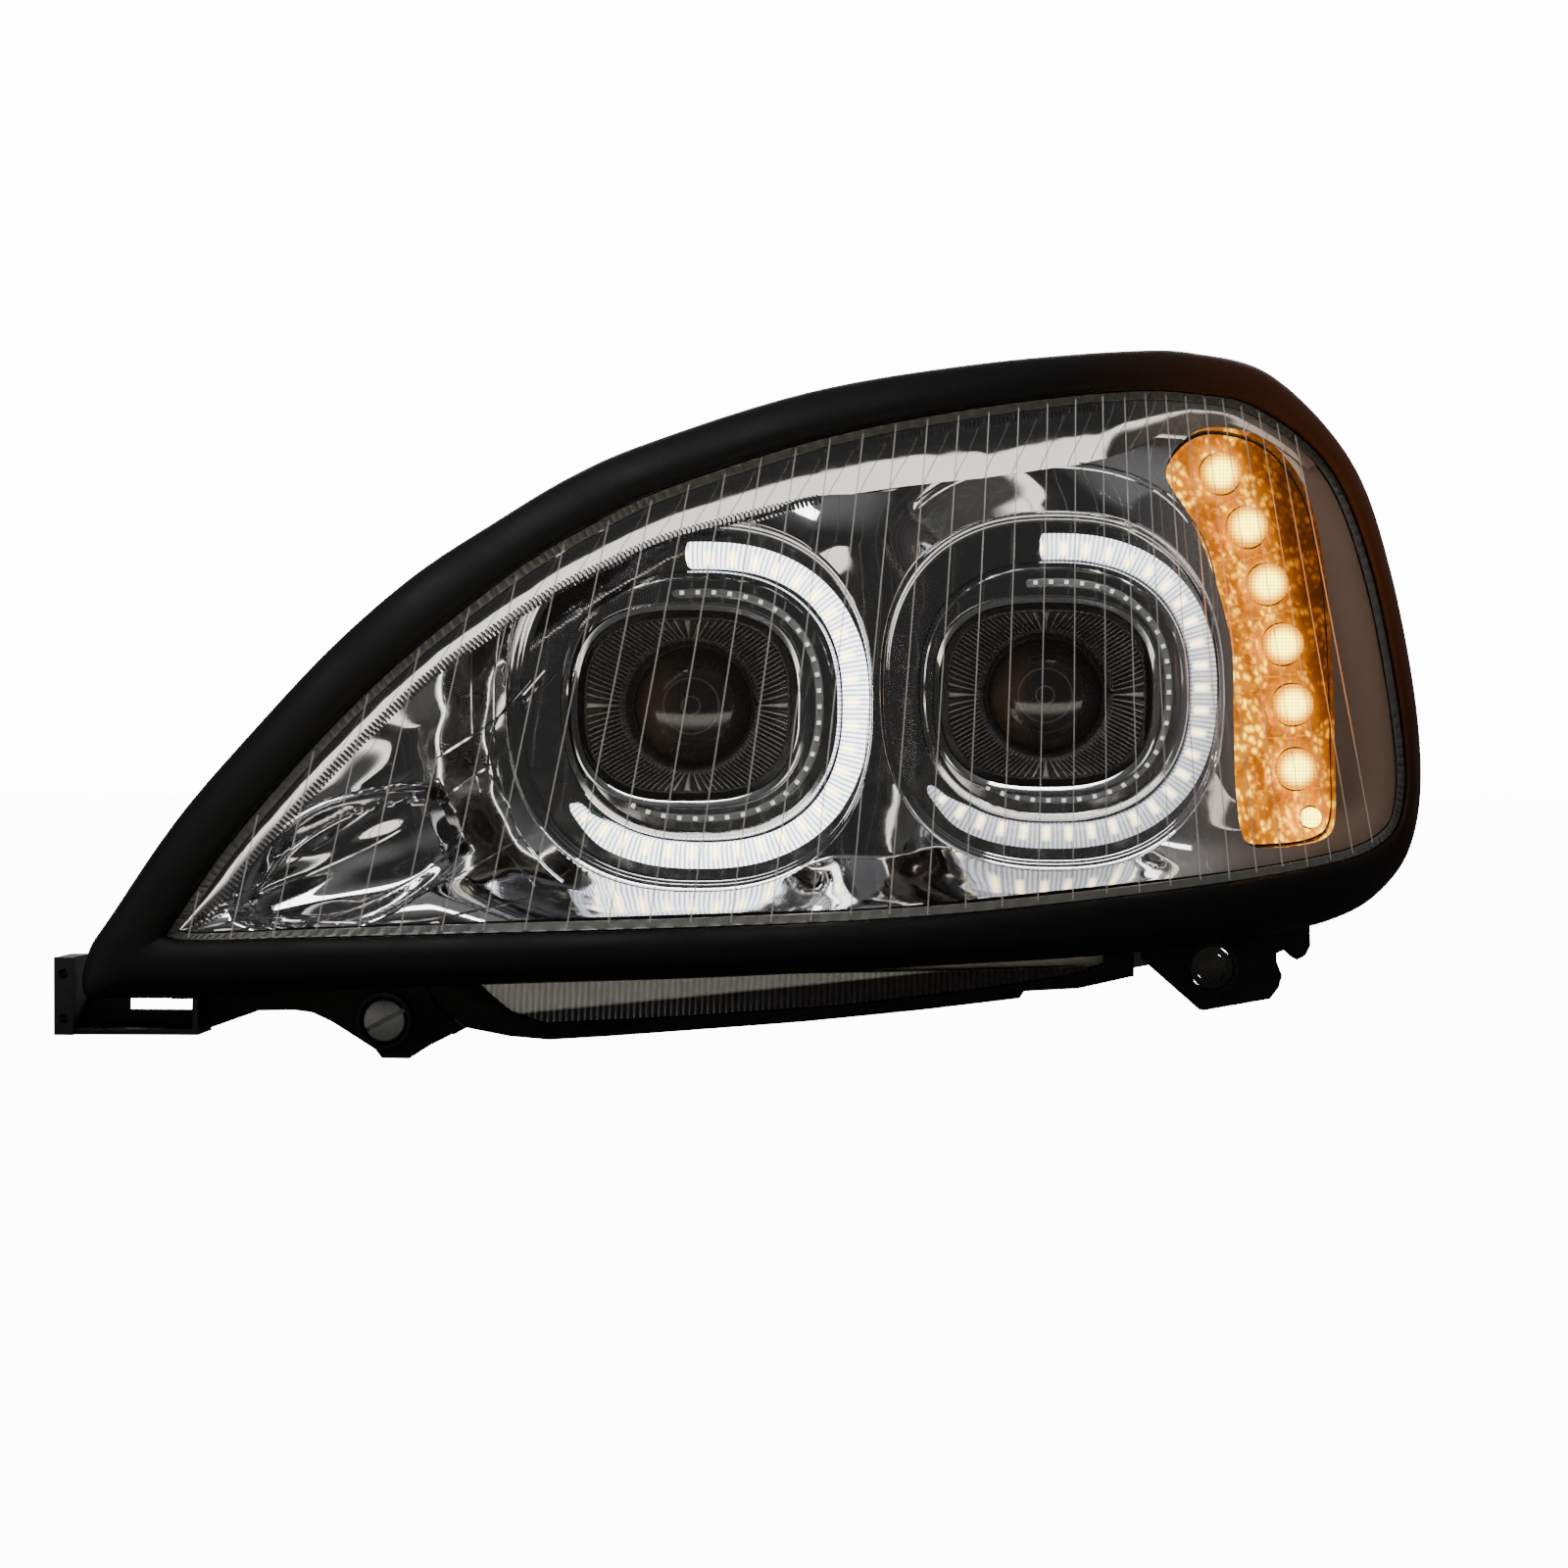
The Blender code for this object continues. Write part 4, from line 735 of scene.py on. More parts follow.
# Thin raised piping follows the cups, the pocket and the folds that fan out from the lamp's tip.
contours = [
    contour("outer", 128, 12, lambda c, s: 0.0135 + 0.030 * max(s, 0.0) ** 1.5 - 0.012 * max(c, 0) ** 3),
    contour("outer", 124, 20, lambda c, s: 0.0165 + 0.030 * max(s, 0.0) ** 1.5 - 0.012 * max(c, 0) ** 3),
    contour("inner", 236, 142, lambda c, s: 0.024 + 0.006 * max(-s, 0.0)),
    contour("inner", 232, 150, lambda c, s: 0.034 + 0.004 * max(-s, 0.0)),
]
for points in (
    [(0.060, 0.036), (0.100, 0.062), (0.150, 0.098), (0.205, 0.142), (0.232, 0.170)],
    [(0.062, 0.035), (0.110, 0.058), (0.165, 0.086), (0.215, 0.128)],
    [(0.066, 0.034), (0.130, 0.048), (0.185, 0.056), (0.222, 0.080)],
    [(0.070, 0.033), (0.120, 0.036), (0.180, 0.038), (0.232, 0.048)],
    [(0.215, 0.094), (0.204, 0.115), (0.206, 0.140), (0.224, 0.165)],
):
    contours.append([(p.x, p.y) for p in spline(points, 14, closed=False)])
pocket_line = []
for angle in np.linspace(-2.2, 2.6, 70):
    for reach in np.arange(0.002, 0.12, 0.0008):
        x, z = 0.160 + reach * math.cos(angle + 0.42), 0.078 + reach * math.sin(angle + 0.42)
        if pocket_gap(x, z) > 0.0012:
            break
    pocket_line.append((x, z))
contours.append(pocket_line)
window = np.array(offset_edge(-0.007))
piping_lines = []
for line in contours:
    line = np.array(line)
    line = line[inside(line, window)]
    piping_lines.append([(x, bezel_depth(x, z) - 0.0002, z) for x, z in line])
piping = grown_mesh(
    "bezel_piping", piping_lines, bars_tree("bezel piping", metallised), {"Width": 0.0009, "Height": 0.0009}
)
show("bezel_piping", piping, metallised, angle=70)

# The cove: the bright band between the lens's rim and the bezel, widest over the outer projector.
cove_rows = []
first, last = AROUND, AROUND * 15
for step in range(13):
    t = step / 12
    row = []
    for i in range(first, last):
        inner, outer = WINDOW_EDGE[i], OUTER_EDGE[i]
        across = (outer - inner).normalized()
        wide = np.interp(
            i / AROUND,
            [1, 3, 6, 9, 11, 12, 12.6, 13.1, 15],
            [0.007, 0.009, 0.012, 0.020, 0.033, 0.034, 0.022, 0.010, 0.007],
        )
        p = inner - across * (0.0054 + wide * t)
        hollow = min(1.0, wide / 0.030)
        quarter = t * math.pi / 2
        depth = 0.0062 + hollow * (0.0100 * (1 - math.cos(quarter)) + 0.0030 * math.sin(quarter))
        row.append((p.x, lens_depth(p.x, p.y) + depth, p.y))
    cove_rows.append(row)
back_rows = [[(x, y + 0.0012, z) for x, y, z in row] for row in reversed(cove_rows)]
show(
    "chrome_cove",
    skin("chrome_cove", cove_rows + back_rows, ring=False),
    metallised,
    nodes=["trim_ring"],
    angle=50,
)

# Fine bright teeth run along the cove's inner edge.
teeth_lines = [cove_rows[-1][: AROUND * 9], cove_rows[1][AROUND * 9 : AROUND * 11]]
teeth_lines = [[(x, y - 0.0012, z) for x, y, z in line] for line in teeth_lines]
teeth = grown_mesh(
    "cove_teeth",
    teeth_lines,
    row_tree("milled teeth", metallised),
    {"Spacing": 0.0026, "Size": (0.0011, 0.0035, 0.0045)},
)
show("cove_teeth", teeth, metallised, angle=30)

# Each cup: stepped rims down to the channel of the running light, then the halo's step and a bright
# rolled lip.
for side, unit in PROJECTORS.items():
    face = unit["face"]
    rows = [cup_row(side, CUP_EDGE, bezel_depth)]
    for grow, back in (
        (0.0106, -0.0080), (0.0102, -0.0076), (0.0101, -0.0020), (0.0095, -0.0018), (0.0091, -0.0014),
        (0.0090, 0.0030), (0.0085, 0.0032), (0.0081, 0.0036),
    ):
        rows.append(
            cup_row(side, grow, lambda x, z, back=back: max(face + back, lens_depth(x, z) + 0.019 + back))
        )
    for grow, back in (
        (0.0079, 0.0138), (-0.0084, 0.0138), (-0.0090, 0.0040), (-0.0098, 0.0030), (-0.0122, 0.0028),
        (-0.0130, 0.0036), (-0.0136, 0.0136),
    ):
        rows.append(cup_row(side, grow, face + back))
    for half, back in (
        ((0.0652, 0.0572), 0.0134), ((0.0650, 0.0570), 0.0072), ((0.0645, 0.0565), 0.0061),
        ((0.0636, 0.0556), 0.0059), ((0.0620, 0.0538), 0.0066), ((0.0609, 0.0526), 0.0073),
        ((0.0603, 0.0520), 0.0088), ((0.0602, 0.0519), 0.0168),
    ):
        rows.append(squircle(unit["beam"], half, 2.8, CUP_STEPS, face + back))
    cup = skin("cup_" + side, rows, tube=False)
    bm = bmesh.new()
    bm.from_mesh(cup)
    bm.normal_update()
    if sum(f.normal.y * f.calc_area() for f in bm.faces) > 0:
        bmesh.ops.reverse_faces(bm, faces=bm.faces[:])
    bm.to_mesh(cup)
    bm.free()
    made = show("chrome_cup_" + side, cup, metallised, nodes=["cup_" + side], angle=28)
    wall = made.modifiers.new("wall", "SOLIDIFY")
    wall.thickness = 0.0009
    wall.offset = -1.0

# ---------------------------------------------------------------- running lights
# Milky acrylic light guides, lit white from a strip of LEDs behind them. Fine ribs cross each guide, and
# every LED shows as a warmer, brighter patch.

GUIDE_WIDTH = 0.014


def guide_along(unit, half, span, section, count, ribs=0.0):
    """Rows of points for a bar along part of a squircle, and its length. section is (offset, depth) points."""
    line = [Vector(p) for p in squircle(unit["ring"], half, RING_POWER, count, unit["face"], *span)]
    total = 0.0
    lengths = [0.0]
    for a, b in zip(line, line[1:]):
        total += (b - a).length
        lengths.append(total)
    steps = int(total / 0.0008)
    even = []
    for i in range(steps + 1):
        at = total * i / steps
        k = min(np.searchsorted(lengths, at), len(line) - 1)
        k = max(k, 1)
        share = (at - lengths[k - 1]) / (lengths[k] - lengths[k - 1])
        even.append(line[k - 1].lerp(line[k], share))
    rows = []
    for offset, depth in section:
        row = []
        for i, p in enumerate(even):
            ahead = even[min(i + 1, steps)] - even[max(i - 1, 0)]
            out = Vector((-ahead.z, 0.0, ahead.x)).normalized()
            t = i / steps
            at = total * t
            ends = math.sqrt(max(0.0, 1 - max(0.0, (0.0015 - at) / 0.0015) ** 2)) * 0.5 + 0.5
            tail = 1.0 - 0.62 * ease(total - at, 0.030, 0.0)
            tail *= math.sqrt(max(0.0, 1 - max(0.0, (0.005 - (total - at)) / 0.005) ** 2)) * 0.999 + 0.001
            lift = ribs * (0.5 - 0.5 * math.cos(at / 0.0016 * 2 * math.pi)) if depth < 0.004 else 0.0
            q = p + out * offset * ends * tail
            row.append((q.x, q.y + depth + lift, q.z))
        rows.append(row)
    return rows, total


def guide_mesh(name, rows, total):
    """Skins a guide and gives it a UV map in metres: along the guide, then round its section."""
    count = len(rows[0])
    mesh = skin(name, rows, ring=False)
    layer = mesh.uv_layers.new(name="along")
    places = np.array([p for row in rows for p in row])
    tree = KDTree(len(places))
    for i, p in enumerate(places):
        tree.insert(p, i)
    tree.balance()
    for loop in mesh.loops:
        index = tree.find(mesh.vertices[loop.vertex_index].co)[1]
        layer.data[loop.index].uv = (index % count / (count - 1) * total, index // count / len(rows))
    return mesh


w = GUIDE_WIDTH / 2
GUIDE_SECTION = [
    (-w, 0.0118), (-w, 0.004), (-w + 0.0008, 0.0022), (-w + 0.003, 0.0006), (-0.002, 0.0), (0.002, 0.0),
    (w - 0.003, 0.0006), (w - 0.0008, 0.0022), (w, 0.004), (w, 0.0118),
]
LED_PITCH = 0.0130
RIB_PITCH = 0.0026


def wave_along(tree, place, pitch):
    """A wave that rises to 1 and falls to -1 once in each pitch."""
    turn = maths(tree, "MULTIPLY", place, 2 * math.pi / pitch)
    return maths(tree, "COSINE", turn)


def lit_guide(name, power, dim_span):
    """Acrylic lit white from behind, with fine ribs, an LED patch every 13 mm and a dimmer stretch."""
    made, tree, shader, place = material_start(name, "#e4e6ea", {"Roughness": 0.22, "IOR": 1.49})
    uv = add(tree, "ShaderNodeUVMap", {"uv_map": "along"})
    parts = add(tree, "ShaderNodeSeparateXYZ", links={0: uv.outputs[0]})
    waves = []
    for pitch, low, high, least in ((LED_PITCH, 0.1, 1.0, 0.0), (RIB_PITCH, -1.0, 0.7, 0.22)):
        wave = wave_along(tree, parts.outputs["X"], pitch)
        waves.append(ramp(tree, wave, (low, high), (least, 1.0)))
    off = maths(tree, "SUBTRACT", parts.outputs["Y"], 0.36)
    off = maths(tree, "ABSOLUTE", off)
    middle = ramp(tree, off, (0.06, 0.22), (1.0, 0.0))
    patch = maths(tree, "MULTIPLY", waves[0], middle)
    fade = ramp(tree, parts.outputs["X"], dim_span[:2], (1.0, dim_span[2]))
    colour = blend(tree, patch, srgb("#eef1f6"), srgb("#ffe890"))
    tree.links.new(colour, shader.inputs["Emission Color"])
    base = maths(tree, "MULTIPLY", waves[1], power)
    base = maths(tree, "MULTIPLY", base, fade)
    level = maths(tree, "MULTIPLY_ADD", patch, 4.5, base)
    tree.links.new(level, shader.inputs["Emission Strength"])
    return made


guide_acrylic = {
    "inner": lit_guide("lit acrylic light guide", 6.0, (0.28, 0.46, 0.35)),
    "outer": lit_guide("lit acrylic light guide, outer", 4.0, (0.03, 0.14, 0.30)),
}
for side, unit in PROJECTORS.items():
    rows, total = guide_along(unit, RING_HALF, (93.0, -143.0), GUIDE_SECTION, 200, ribs=0.0004)
    mesh = guide_mesh("light_guide_" + side, rows, total)
    show(
        "light_guide_" + side, mesh, guide_acrylic[side], nodes=["drl_guide_" + side], angle=40
    )

# The halo is a second, unlit guide inside the first, with a row of small LEDs showing through it.
halo_acrylic = grained(
    "clear acrylic halo",
    "#9fa2a6",
    {"Roughness": 0.12, "Transmission Weight": 0.5, "IOR": 1.49},
    0.002,
    0.00006,
    (0.08, 0.22),
)
dot_resin = grained(
    "LED resin",
    "#d8d6c8",
    {"Roughness": 0.35, "Emission Color": srgb("#fff6df"), "Emission Strength": 0.9},
    0.0015,
    0.00003,
    (0.3, 0.4),
)
dots_row = row_tree("halo LEDs", dot_resin)
HALO_HALF = (0.066, 0.0625)
HALO_SECTION = [
    (-0.0021, 0.0132), (-0.0021, 0.0080), (-0.0012, 0.0072), (0.0012, 0.0072), (0.0021, 0.0080),
    (0.0021, 0.0132),
]
for side, unit in PROJECTORS.items():
    rows, _ = guide_along(unit, HALO_HALF, (100.0, -124.0), HALO_SECTION, 120)
    show(
        "halo_guide_" + side,
        skin("halo_guide_" + side, rows, ring=False),
        halo_acrylic,
        nodes=["halo_ring_" + side],
        angle=40,
    )
    line = squircle(unit["ring"], HALO_HALF, RING_POWER, 90, unit["face"] + 0.0066, 96.0, -120.0)
    dots = grown_mesh(
        "halo_leds_" + side, [line], dots_row, {"Spacing": 0.0088, "Size": (0.0022, 0.0012, 0.0022)}
    )
    show("halo_leds_" + side, dots, dot_resin, angle=30)

# ---------------------------------------------------------------- projectors
# Each projector is a steel-ringed glass lens in a dark fluted shroud, with its bowl and bulb behind.
# The shroud is smoke-metallised plastic with about a hundred radial flutes and a scalloped front edge; each
# flute's crest is painted lighter, a painted highlight.

smoked, tree, shader, place = material_start(
    "smoked metallised plastic", "#686462", {"Metallic": 0.5, "Roughness": 0.26}
)
grain(tree, shader, place, 0.004, 0.00004, (0.22, 0.34))
# Painted highlight: each flute's crest is painted a lighter grey than its trough.
uv = add(tree, "ShaderNodeUVMap", {"uv_map": "flutes"})
parts = add(tree, "ShaderNodeSeparateXYZ", links={0: uv.outputs[0]})
wave = wave_along(tree, parts.outputs["X"], 1.0)
crest = ramp(tree, wave, (0.45, 1.0), (0.0, 1.0))
painted_crest_highlight = blend(tree, crest, srgb("#393634"), srgb("#c3bfba"))
tree.links.new(painted_crest_highlight, shader.inputs["Base Color"])
# Coated optical glass painted with the dark chamber behind it: a dark base of painted shade, browner on one
# side, with faint painted reflections of the bulb's shield and rings.
projector_glass, tree, shader, place = material_start(
    "coated projector glass",
    "#2a2522",
    {"Roughness": 0.10, "IOR": 1.52, "Coat Weight": 0.25, "Coat Roughness": 0.05},
)
uv = add(tree, "ShaderNodeUVMap", {"uv_map": "disc"})
parts = add(tree, "ShaderNodeSeparateXYZ", links={0: uv.outputs[0]})
brown = ramp(tree, parts.outputs["X"], (-0.026, -0.002), (1.0, 0.0))
cast = blend(tree, brown, srgb("#1c1c1d"), srgb("#4a382b"))
radius = add(tree, "ShaderNodeVectorMath", {"operation": "LENGTH"}, {0: uv.outputs[0]})
# Painted reflections: faint rings across the middle of the glass.
rings = maths(tree, "PINGPONG", radius.outputs["Value"], 0.0052)
ringed = ramp(tree, rings, (0.0043, 0.0052), (0.0, 0.45))
inner_part = ramp(tree, radius.outputs["Value"], (0.020, 0.024), (1.0, 0.0))
faint = maths(tree, "MULTIPLY", ringed, inner_part)
inside_look = blend(tree, faint, cast, srgb("#6f6a66"))
tree.links.new(inside_look, shader.inputs["Base Color"])
black_steel = grained(
    "blackened steel", "#2a2a2b", {"Metallic": 1.0, "Roughness": 0.35}, 0.0015, 0.00003, (0.28, 0.45)
)


def disc_uv(mesh, centres):
    """A UV map in metres measured across (x, z) from the nearest of some centres."""
    layer = mesh.uv_layers.new(name="disc")
    for loop in mesh.loops:
        x, _, z = mesh.vertices[loop.vertex_index].co
        near = min(centres, key=lambda c: math.hypot(c[0] - x, c[1] - z))
        layer.data[loop.index].uv = (x - near[0], z - near[1])
    return mesh


def turned_mesh(name, centre, profile, steps=72, closed=False):
    """A body turned round an axis along Y, from (radius, y) points."""
    rows = []
    angles = [2 * math.pi * i / steps for i in range(steps)]
    for radius, y in profile:
        wide = max(radius, 1e-7)
        rows.append([(centre[0] + wide * math.cos(a), y, centre[1] + wide * math.sin(a)) for a in angles])
    return skin(name, rows, tube=closed, caps=not closed)


FLUTES = 104
FLUTED_ROWS = (4, 8)
for side, unit in PROJECTORS.items():
    face = unit["face"]
    beam = unit["beam"]
    rows = []
    sections = [
        ((0.0570, 0.0485), 2.8, 0.0075, 0.0), ((0.0570, 0.0485), 2.8, 0.0046, 0.0),
        ((0.0566, 0.0481), 2.8, 0.0041, 0.0), ((0.0560, 0.0475), 2.8, 0.0041, 0.1),
        ((0.0552, 0.0467), 2.8, 0.0050, 1.0), ((0.0510, 0.0440), 2.6, 0.0072, 1.0),
        ((0.0460, 0.0412), 2.4, 0.0108, 1.0), ((0.0415, 0.0388), 2.2, 0.0155, 1.0),
        ((0.0385, 0.0372), 2.05, 0.0205, 0.8), ((0.0362, 0.0360), 2.0, 0.0260, 0.2),
        ((0.0350, 0.0350), 2.0, 0.0370, 0.0), ((0.0343, 0.0343), 2.0, 0.0415, 0.0),
        ((0.0372, 0.0372), 2.0, 0.0418, 0.0),
    ]
    for half, power, back, fluted in sections:
        ring = squircle(beam, half, power, FLUTES * 6, face + back)
        row = []
        for i, (x, y, z) in enumerate(ring):
            cut = fluted * 0.0018 * abs(math.sin(i / 6 * math.pi))
            toward = Vector((x - beam[0], 0.0, z - beam[1])).normalized()
            row.append((x + toward.x * cut * 0.7, y + cut, z + toward.z * cut * 0.7))
        rows.append(row)
    shroud = skin("fluted_shroud_" + side, rows)
    layer = shroud.uv_layers.new(name="flutes")
    lap = FLUTES * 6
    for face_part in shroud.polygons:
        places = [shroud.loops[i].vertex_index % lap for i in face_part.loop_indices]
        for i, at in zip(face_part.loop_indices, places):
            at = lap if at == 0 and max(places) > lap / 2 else at
            layer.data[i].uv = (
                at / 6 if FLUTED_ROWS[0] <= shroud.loops[i].vertex_index // lap <= FLUTED_ROWS[1] else 0.5,
                0.0,
            )
    show(
        "fluted_shroud_" + side,
        shroud,
        smoked,
        "projector_unit",
        ["shroud_" + side],
        angle=60,
    )
    profile = [
        (0.0, face + 0.0480), (0.0318, face + 0.0480), (0.0325, face + 0.0474), (0.0325, face + 0.0442)
    ]
    profile += [
        (0.0325 * math.cos(a), face + 0.044 - 0.0158 * math.sin(a))
        for a in np.linspace(0.06, math.pi / 2, 16)
    ]
    dome = disc_uv(turned_mesh("glass_dome_" + side, beam, profile), [beam])
    show(
        "glass_dome_" + side,
        dome,
        projector_glass,
        "projector_unit",
        ["projector_lens_" + side],
        angle=40,
    )
    ring_profile = [
        (0.0373, face + 0.0498), (0.0373, face + 0.0430), (0.0369, face + 0.0426), (0.0334, face + 0.0426),
        (0.0331, face + 0.0430), (0.0331, face + 0.0498),
    ]
    show(
        "retaining_ring_" + side,
        turned_mesh("retaining_ring_" + side, beam, ring_profile, closed=True),
        black_steel,
        "projector_unit",
        ["lens_ring_" + side],
        angle=30,
    )

# ---------------------------------------------------------------- turn signal
# Seven amber acrylic optics stand in a metallised plate of small pyramids, lit by LEDs on a board behind.
# The plate's amber sparks between the round optics are painted light.

OPTICS = [
    ((0.612, 0.2896), 0.0122), ((0.628, 0.2581), 0.0122), ((0.640, 0.2243), 0.0122),
    ((0.649, 0.1888), 0.0122), ((0.6545, 0.1530), 0.0122), ((0.656, 0.1150), 0.0122),
    ((0.665, 0.0865), 0.0060),
]
SIGNAL_DEPTH = 0.035

# Acrylic lit amber: the middle burns out to pale yellow, the edge stays orange, and a fine grid shows
# across it.
amber_acrylic, tree, shader, place = material_start(
    "lit amber acrylic", "#e07a10", {"Roughness": 0.15, "IOR": 1.49}
)
uv = add(tree, "ShaderNodeUVMap", {"uv_map": "disc"})
parts = add(tree, "ShaderNodeSeparateXYZ", links={0: uv.outputs[0]})
OPTIC_GRID = 0.0022
squares = []
for axis in ("X", "Y"):
    wave = wave_along(tree, parts.outputs[axis], OPTIC_GRID)
    squares.append(ramp(tree, wave, (-1.0, 0.2), (0.62, 1.0), "LINEAR"))
mesh_lines = maths(tree, "MULTIPLY", squares[0], squares[1])
radius = add(tree, "ShaderNodeVectorMath", {"operation": "LENGTH"}, {0: uv.outputs[0]})
heat = ramp(tree, radius.outputs["Value"], (0.004, 0.0125), (1.0, 0.0))
hue = blend(tree, heat, srgb("#ffa200"), srgb("#fff04a"))
tree.links.new(hue, shader.inputs["Emission Color"])
level = maths(tree, "MULTIPLY_ADD", heat, 11.0, 2.2)
level = maths(tree, "MULTIPLY", level, mesh_lines)
tree.links.new(level, shader.inputs["Emission Strength"])

discs = bmesh.new()
for (x, z), radius in OPTICS:
    face = lens_depth(x, z) + SIGNAL_DEPTH
    profile = [(radius * t, face + 0.0022 * t**2.2) for t in np.linspace(0.0, 0.94, 12)]
    profile += [
        (radius * 0.985, face + 0.0030), (radius, face + 0.0044), (radius, face + 0.0115),
        (radius * 0.5, face + 0.0115), (0.0, face + 0.0115),
    ]
    one = turned_mesh("disc", (x, z), profile, steps=40)
    discs.from_mesh(one)
    bpy.data.meshes.remove(one)
mesh = bpy.data.meshes.new("amber_optics")
discs.to_mesh(mesh)
discs.free()
disc_uv(mesh, [centre for centre, _ in OPTICS])
show("amber_optics", mesh, amber_acrylic, nodes=["signal_optics"], angle=40)

# Metallised plate in painted amber light from the optics: a brown base colour and a painted glow of sparks and
# pools of yellow on the inner side, dying to brown outwards.
painted_amber_plate, tree, shader, place = material_start(
    "metallised plate in amber light", "#7a3606", {"Metallic": 1.0, "Roughness": 0.16}
)
# Painted light: the plate glows in amber sparks and pools, though it has no lamp of its own.
cells = add(tree, "ShaderNodeTexVoronoi", {"Scale": 190.0}, {"Vector": place})
sparks = ramp(tree, cells.outputs["Distance"], (0.15, 0.62), (1.0, 0.15))
patchy = add(
    tree, "ShaderNodeTexNoise", {"Scale": 48.0, "Detail": 2.0, "Distortion": 1.0}, {"Vector": place}
)
clumps = ramp(tree, patchy.outputs[0], (0.38, 0.62), (0.08, 1.0))
turned_place = add(tree, "ShaderNodeSeparateXYZ", links={0: place})
lean = maths(tree, "SUBTRACT", turned_place.outputs["Z"], 0.205)
lean = maths(tree, "MULTIPLY_ADD", lean, 0.26, turned_place.outputs["X"])
side_fade = ramp(tree, lean, (0.634, 0.674), (1.0, 0.10))
glow = maths(tree, "MULTIPLY", sparks, clumps)
glow = maths(tree, "MULTIPLY", glow, side_fade)
fire = blend(tree, glow, srgb("#ff8a00"), srgb("#ffd800"))
tree.links.new(fire, shader.inputs["Emission Color"])
uv = add(tree, "ShaderNodeUVMap", {"uv_map": "disc"})
radius = add(tree, "ShaderNodeVectorMath", {"operation": "LENGTH"}, {0: uv.outputs[0]})
beside = ramp(tree, radius.outputs["Value"], (0.011, 0.022), (1.9, 0.75))
even = maths(tree, "MULTIPLY", side_fade, beside)
level = maths(tree, "MULTIPLY_ADD", glow, 4.6, even)
tree.links.new(level, shader.inputs["Emission Strength"])


def pyramid_depth(x, z):
    """The signal plate's face: rows of pyramids 6.5 mm across on a surface parallel to the lens."""
    pitch = 0.0065
    u, v = (x + z * 0.3) / pitch, (z - x * 0.3) / pitch
    peak = min(abs(u - round(u)), 0.5) + min(abs(v - round(v)), 0.5)
    return lens_depth(x, z) + SIGNAL_DEPTH + 0.0105 + 0.0030 * peak


SIGNAL_MIDDLE = (0.647, 0.19)


def scaled(edge, middle, across, up):
    """An edge of (x, z) points scaled about a middle."""
    return [(middle[0] + (x - middle[0]) * across, middle[1] + (z - middle[1]) * up) for x, z in edge]


OPTIC_GAP = 0.001
circle = np.linspace(0, 2 * math.pi, 33)[:-1]
optic_holes = []
for (x, z), r in OPTICS:
    wide = r + OPTIC_GAP
    optic_holes.append([(x + wide * math.cos(a), z + wide * math.sin(a)) for a in circle])
plate = sheet(
    "signal_plate",
    scaled(signal_edge, SIGNAL_MIDDLE, 0.985, 0.99),
    0.0019,
    pyramid_depth,
    0.001,
    optic_holes,
)
disc_uv(plate, [centre for centre, _ in OPTICS])
show("signal_plate", plate, painted_amber_plate, nodes=["signal_reflector"], angle=12)

# The signal's own window is a thin clear moulding parallel to the lens.
COVER_DEPTH = 0.0112
cover_edge = scaled(signal_edge, SIGNAL_MIDDLE, 0.95, 0.975)
window_sheet = sheet("signal_cover", cover_edge, 0.006, lambda x, z: lens_depth(x, z) + COVER_DEPTH, 0.0012)
show("signal_cover", window_sheet, clear_polycarbonate, nodes=["signal_window"], angle=40)

# The well between the bezel and the plate, metallised and lit amber from its side.
well_rows = []
for share in (0.0, 0.34, 0.67, 1.0):
    row = []
    for x, z in signal_edge:
        front, back = bezel_depth(x, z) + 0.0008, lens_depth(x, z) + SIGNAL_DEPTH + 0.0145
        row.append((x, front + (back - front) * share, z))
    well_rows.append(row)
outer_rows = []
for row in reversed(well_rows):
    wider = scaled([(x, z) for x, _, z in row], SIGNAL_MIDDLE, 1.02, 1.008)
    outer_rows.append([(x, y, z) for (x, z), (_, y, _) in zip(wider, row)])
show("signal_well", skin("signal_well", well_rows + outer_rows), metallised, angle=30)

# ---------------------------------------------------------------- lower window
# Below the frame a black tray holds a narrow fluted window over a pale reflector.
# The window is moulded with upright flutes 3 mm apart, darker along its lower edge.

fluted_polycarbonate, tree, shader, place = material_start(
    "fluted polycarbonate", "#b9bbb8", {"Roughness": 0.28, "IOR": 1.58}
)
LOWER_FLUTE = 0.0032
across = add(tree, "ShaderNodeSeparateXYZ", links={0: place})
# Painted light and shade: each flute's crest is painted lighter and its trough darker.
wave = wave_along(tree, across.outputs["X"], LOWER_FLUTE)
shade = ramp(tree, wave, (-1.0, 0.6), (0.0, 1.0), "LINEAR")
pale = blend(tree, shade, srgb("#d9dad4"), srgb("#f6f6f0"))
dark = blend(tree, shade, srgb("#161514"), srgb("#3c3a38"))
# The pale reflector behind shows through the upper half only, down to a line that rises outwards.
line = maths(tree, "MULTIPLY_ADD", across.outputs["X"], -0.085, 0.0315)
above = maths(tree, "ADD", line, across.outputs["Z"])
upper = ramp(tree, above, (-0.0008, 0.0008), (0.0, 1.0))
pane = blend(tree, upper, dark, pale)
ending = ramp(tree, across.outputs["X"], (0.40, 0.53), (0.0, 0.85))
ended = blend(tree, ending, pane, srgb("#2a231e"))
tree.links.new(ended, shader.inputs["Base Color"])

WINDOW_BOTTOM = [
    (0.2035, 0.012), (0.2060, 0.004), (0.2131, -0.0030), (0.2234, -0.0115), (0.2413, -0.0180),
    (0.3148, -0.0152), (0.397, -0.0110), (0.4705, -0.0040), (0.520, 0.0020), (0.540, 0.0065),
]
lower_x, lower_z = zip(*WINDOW_BOTTOM)


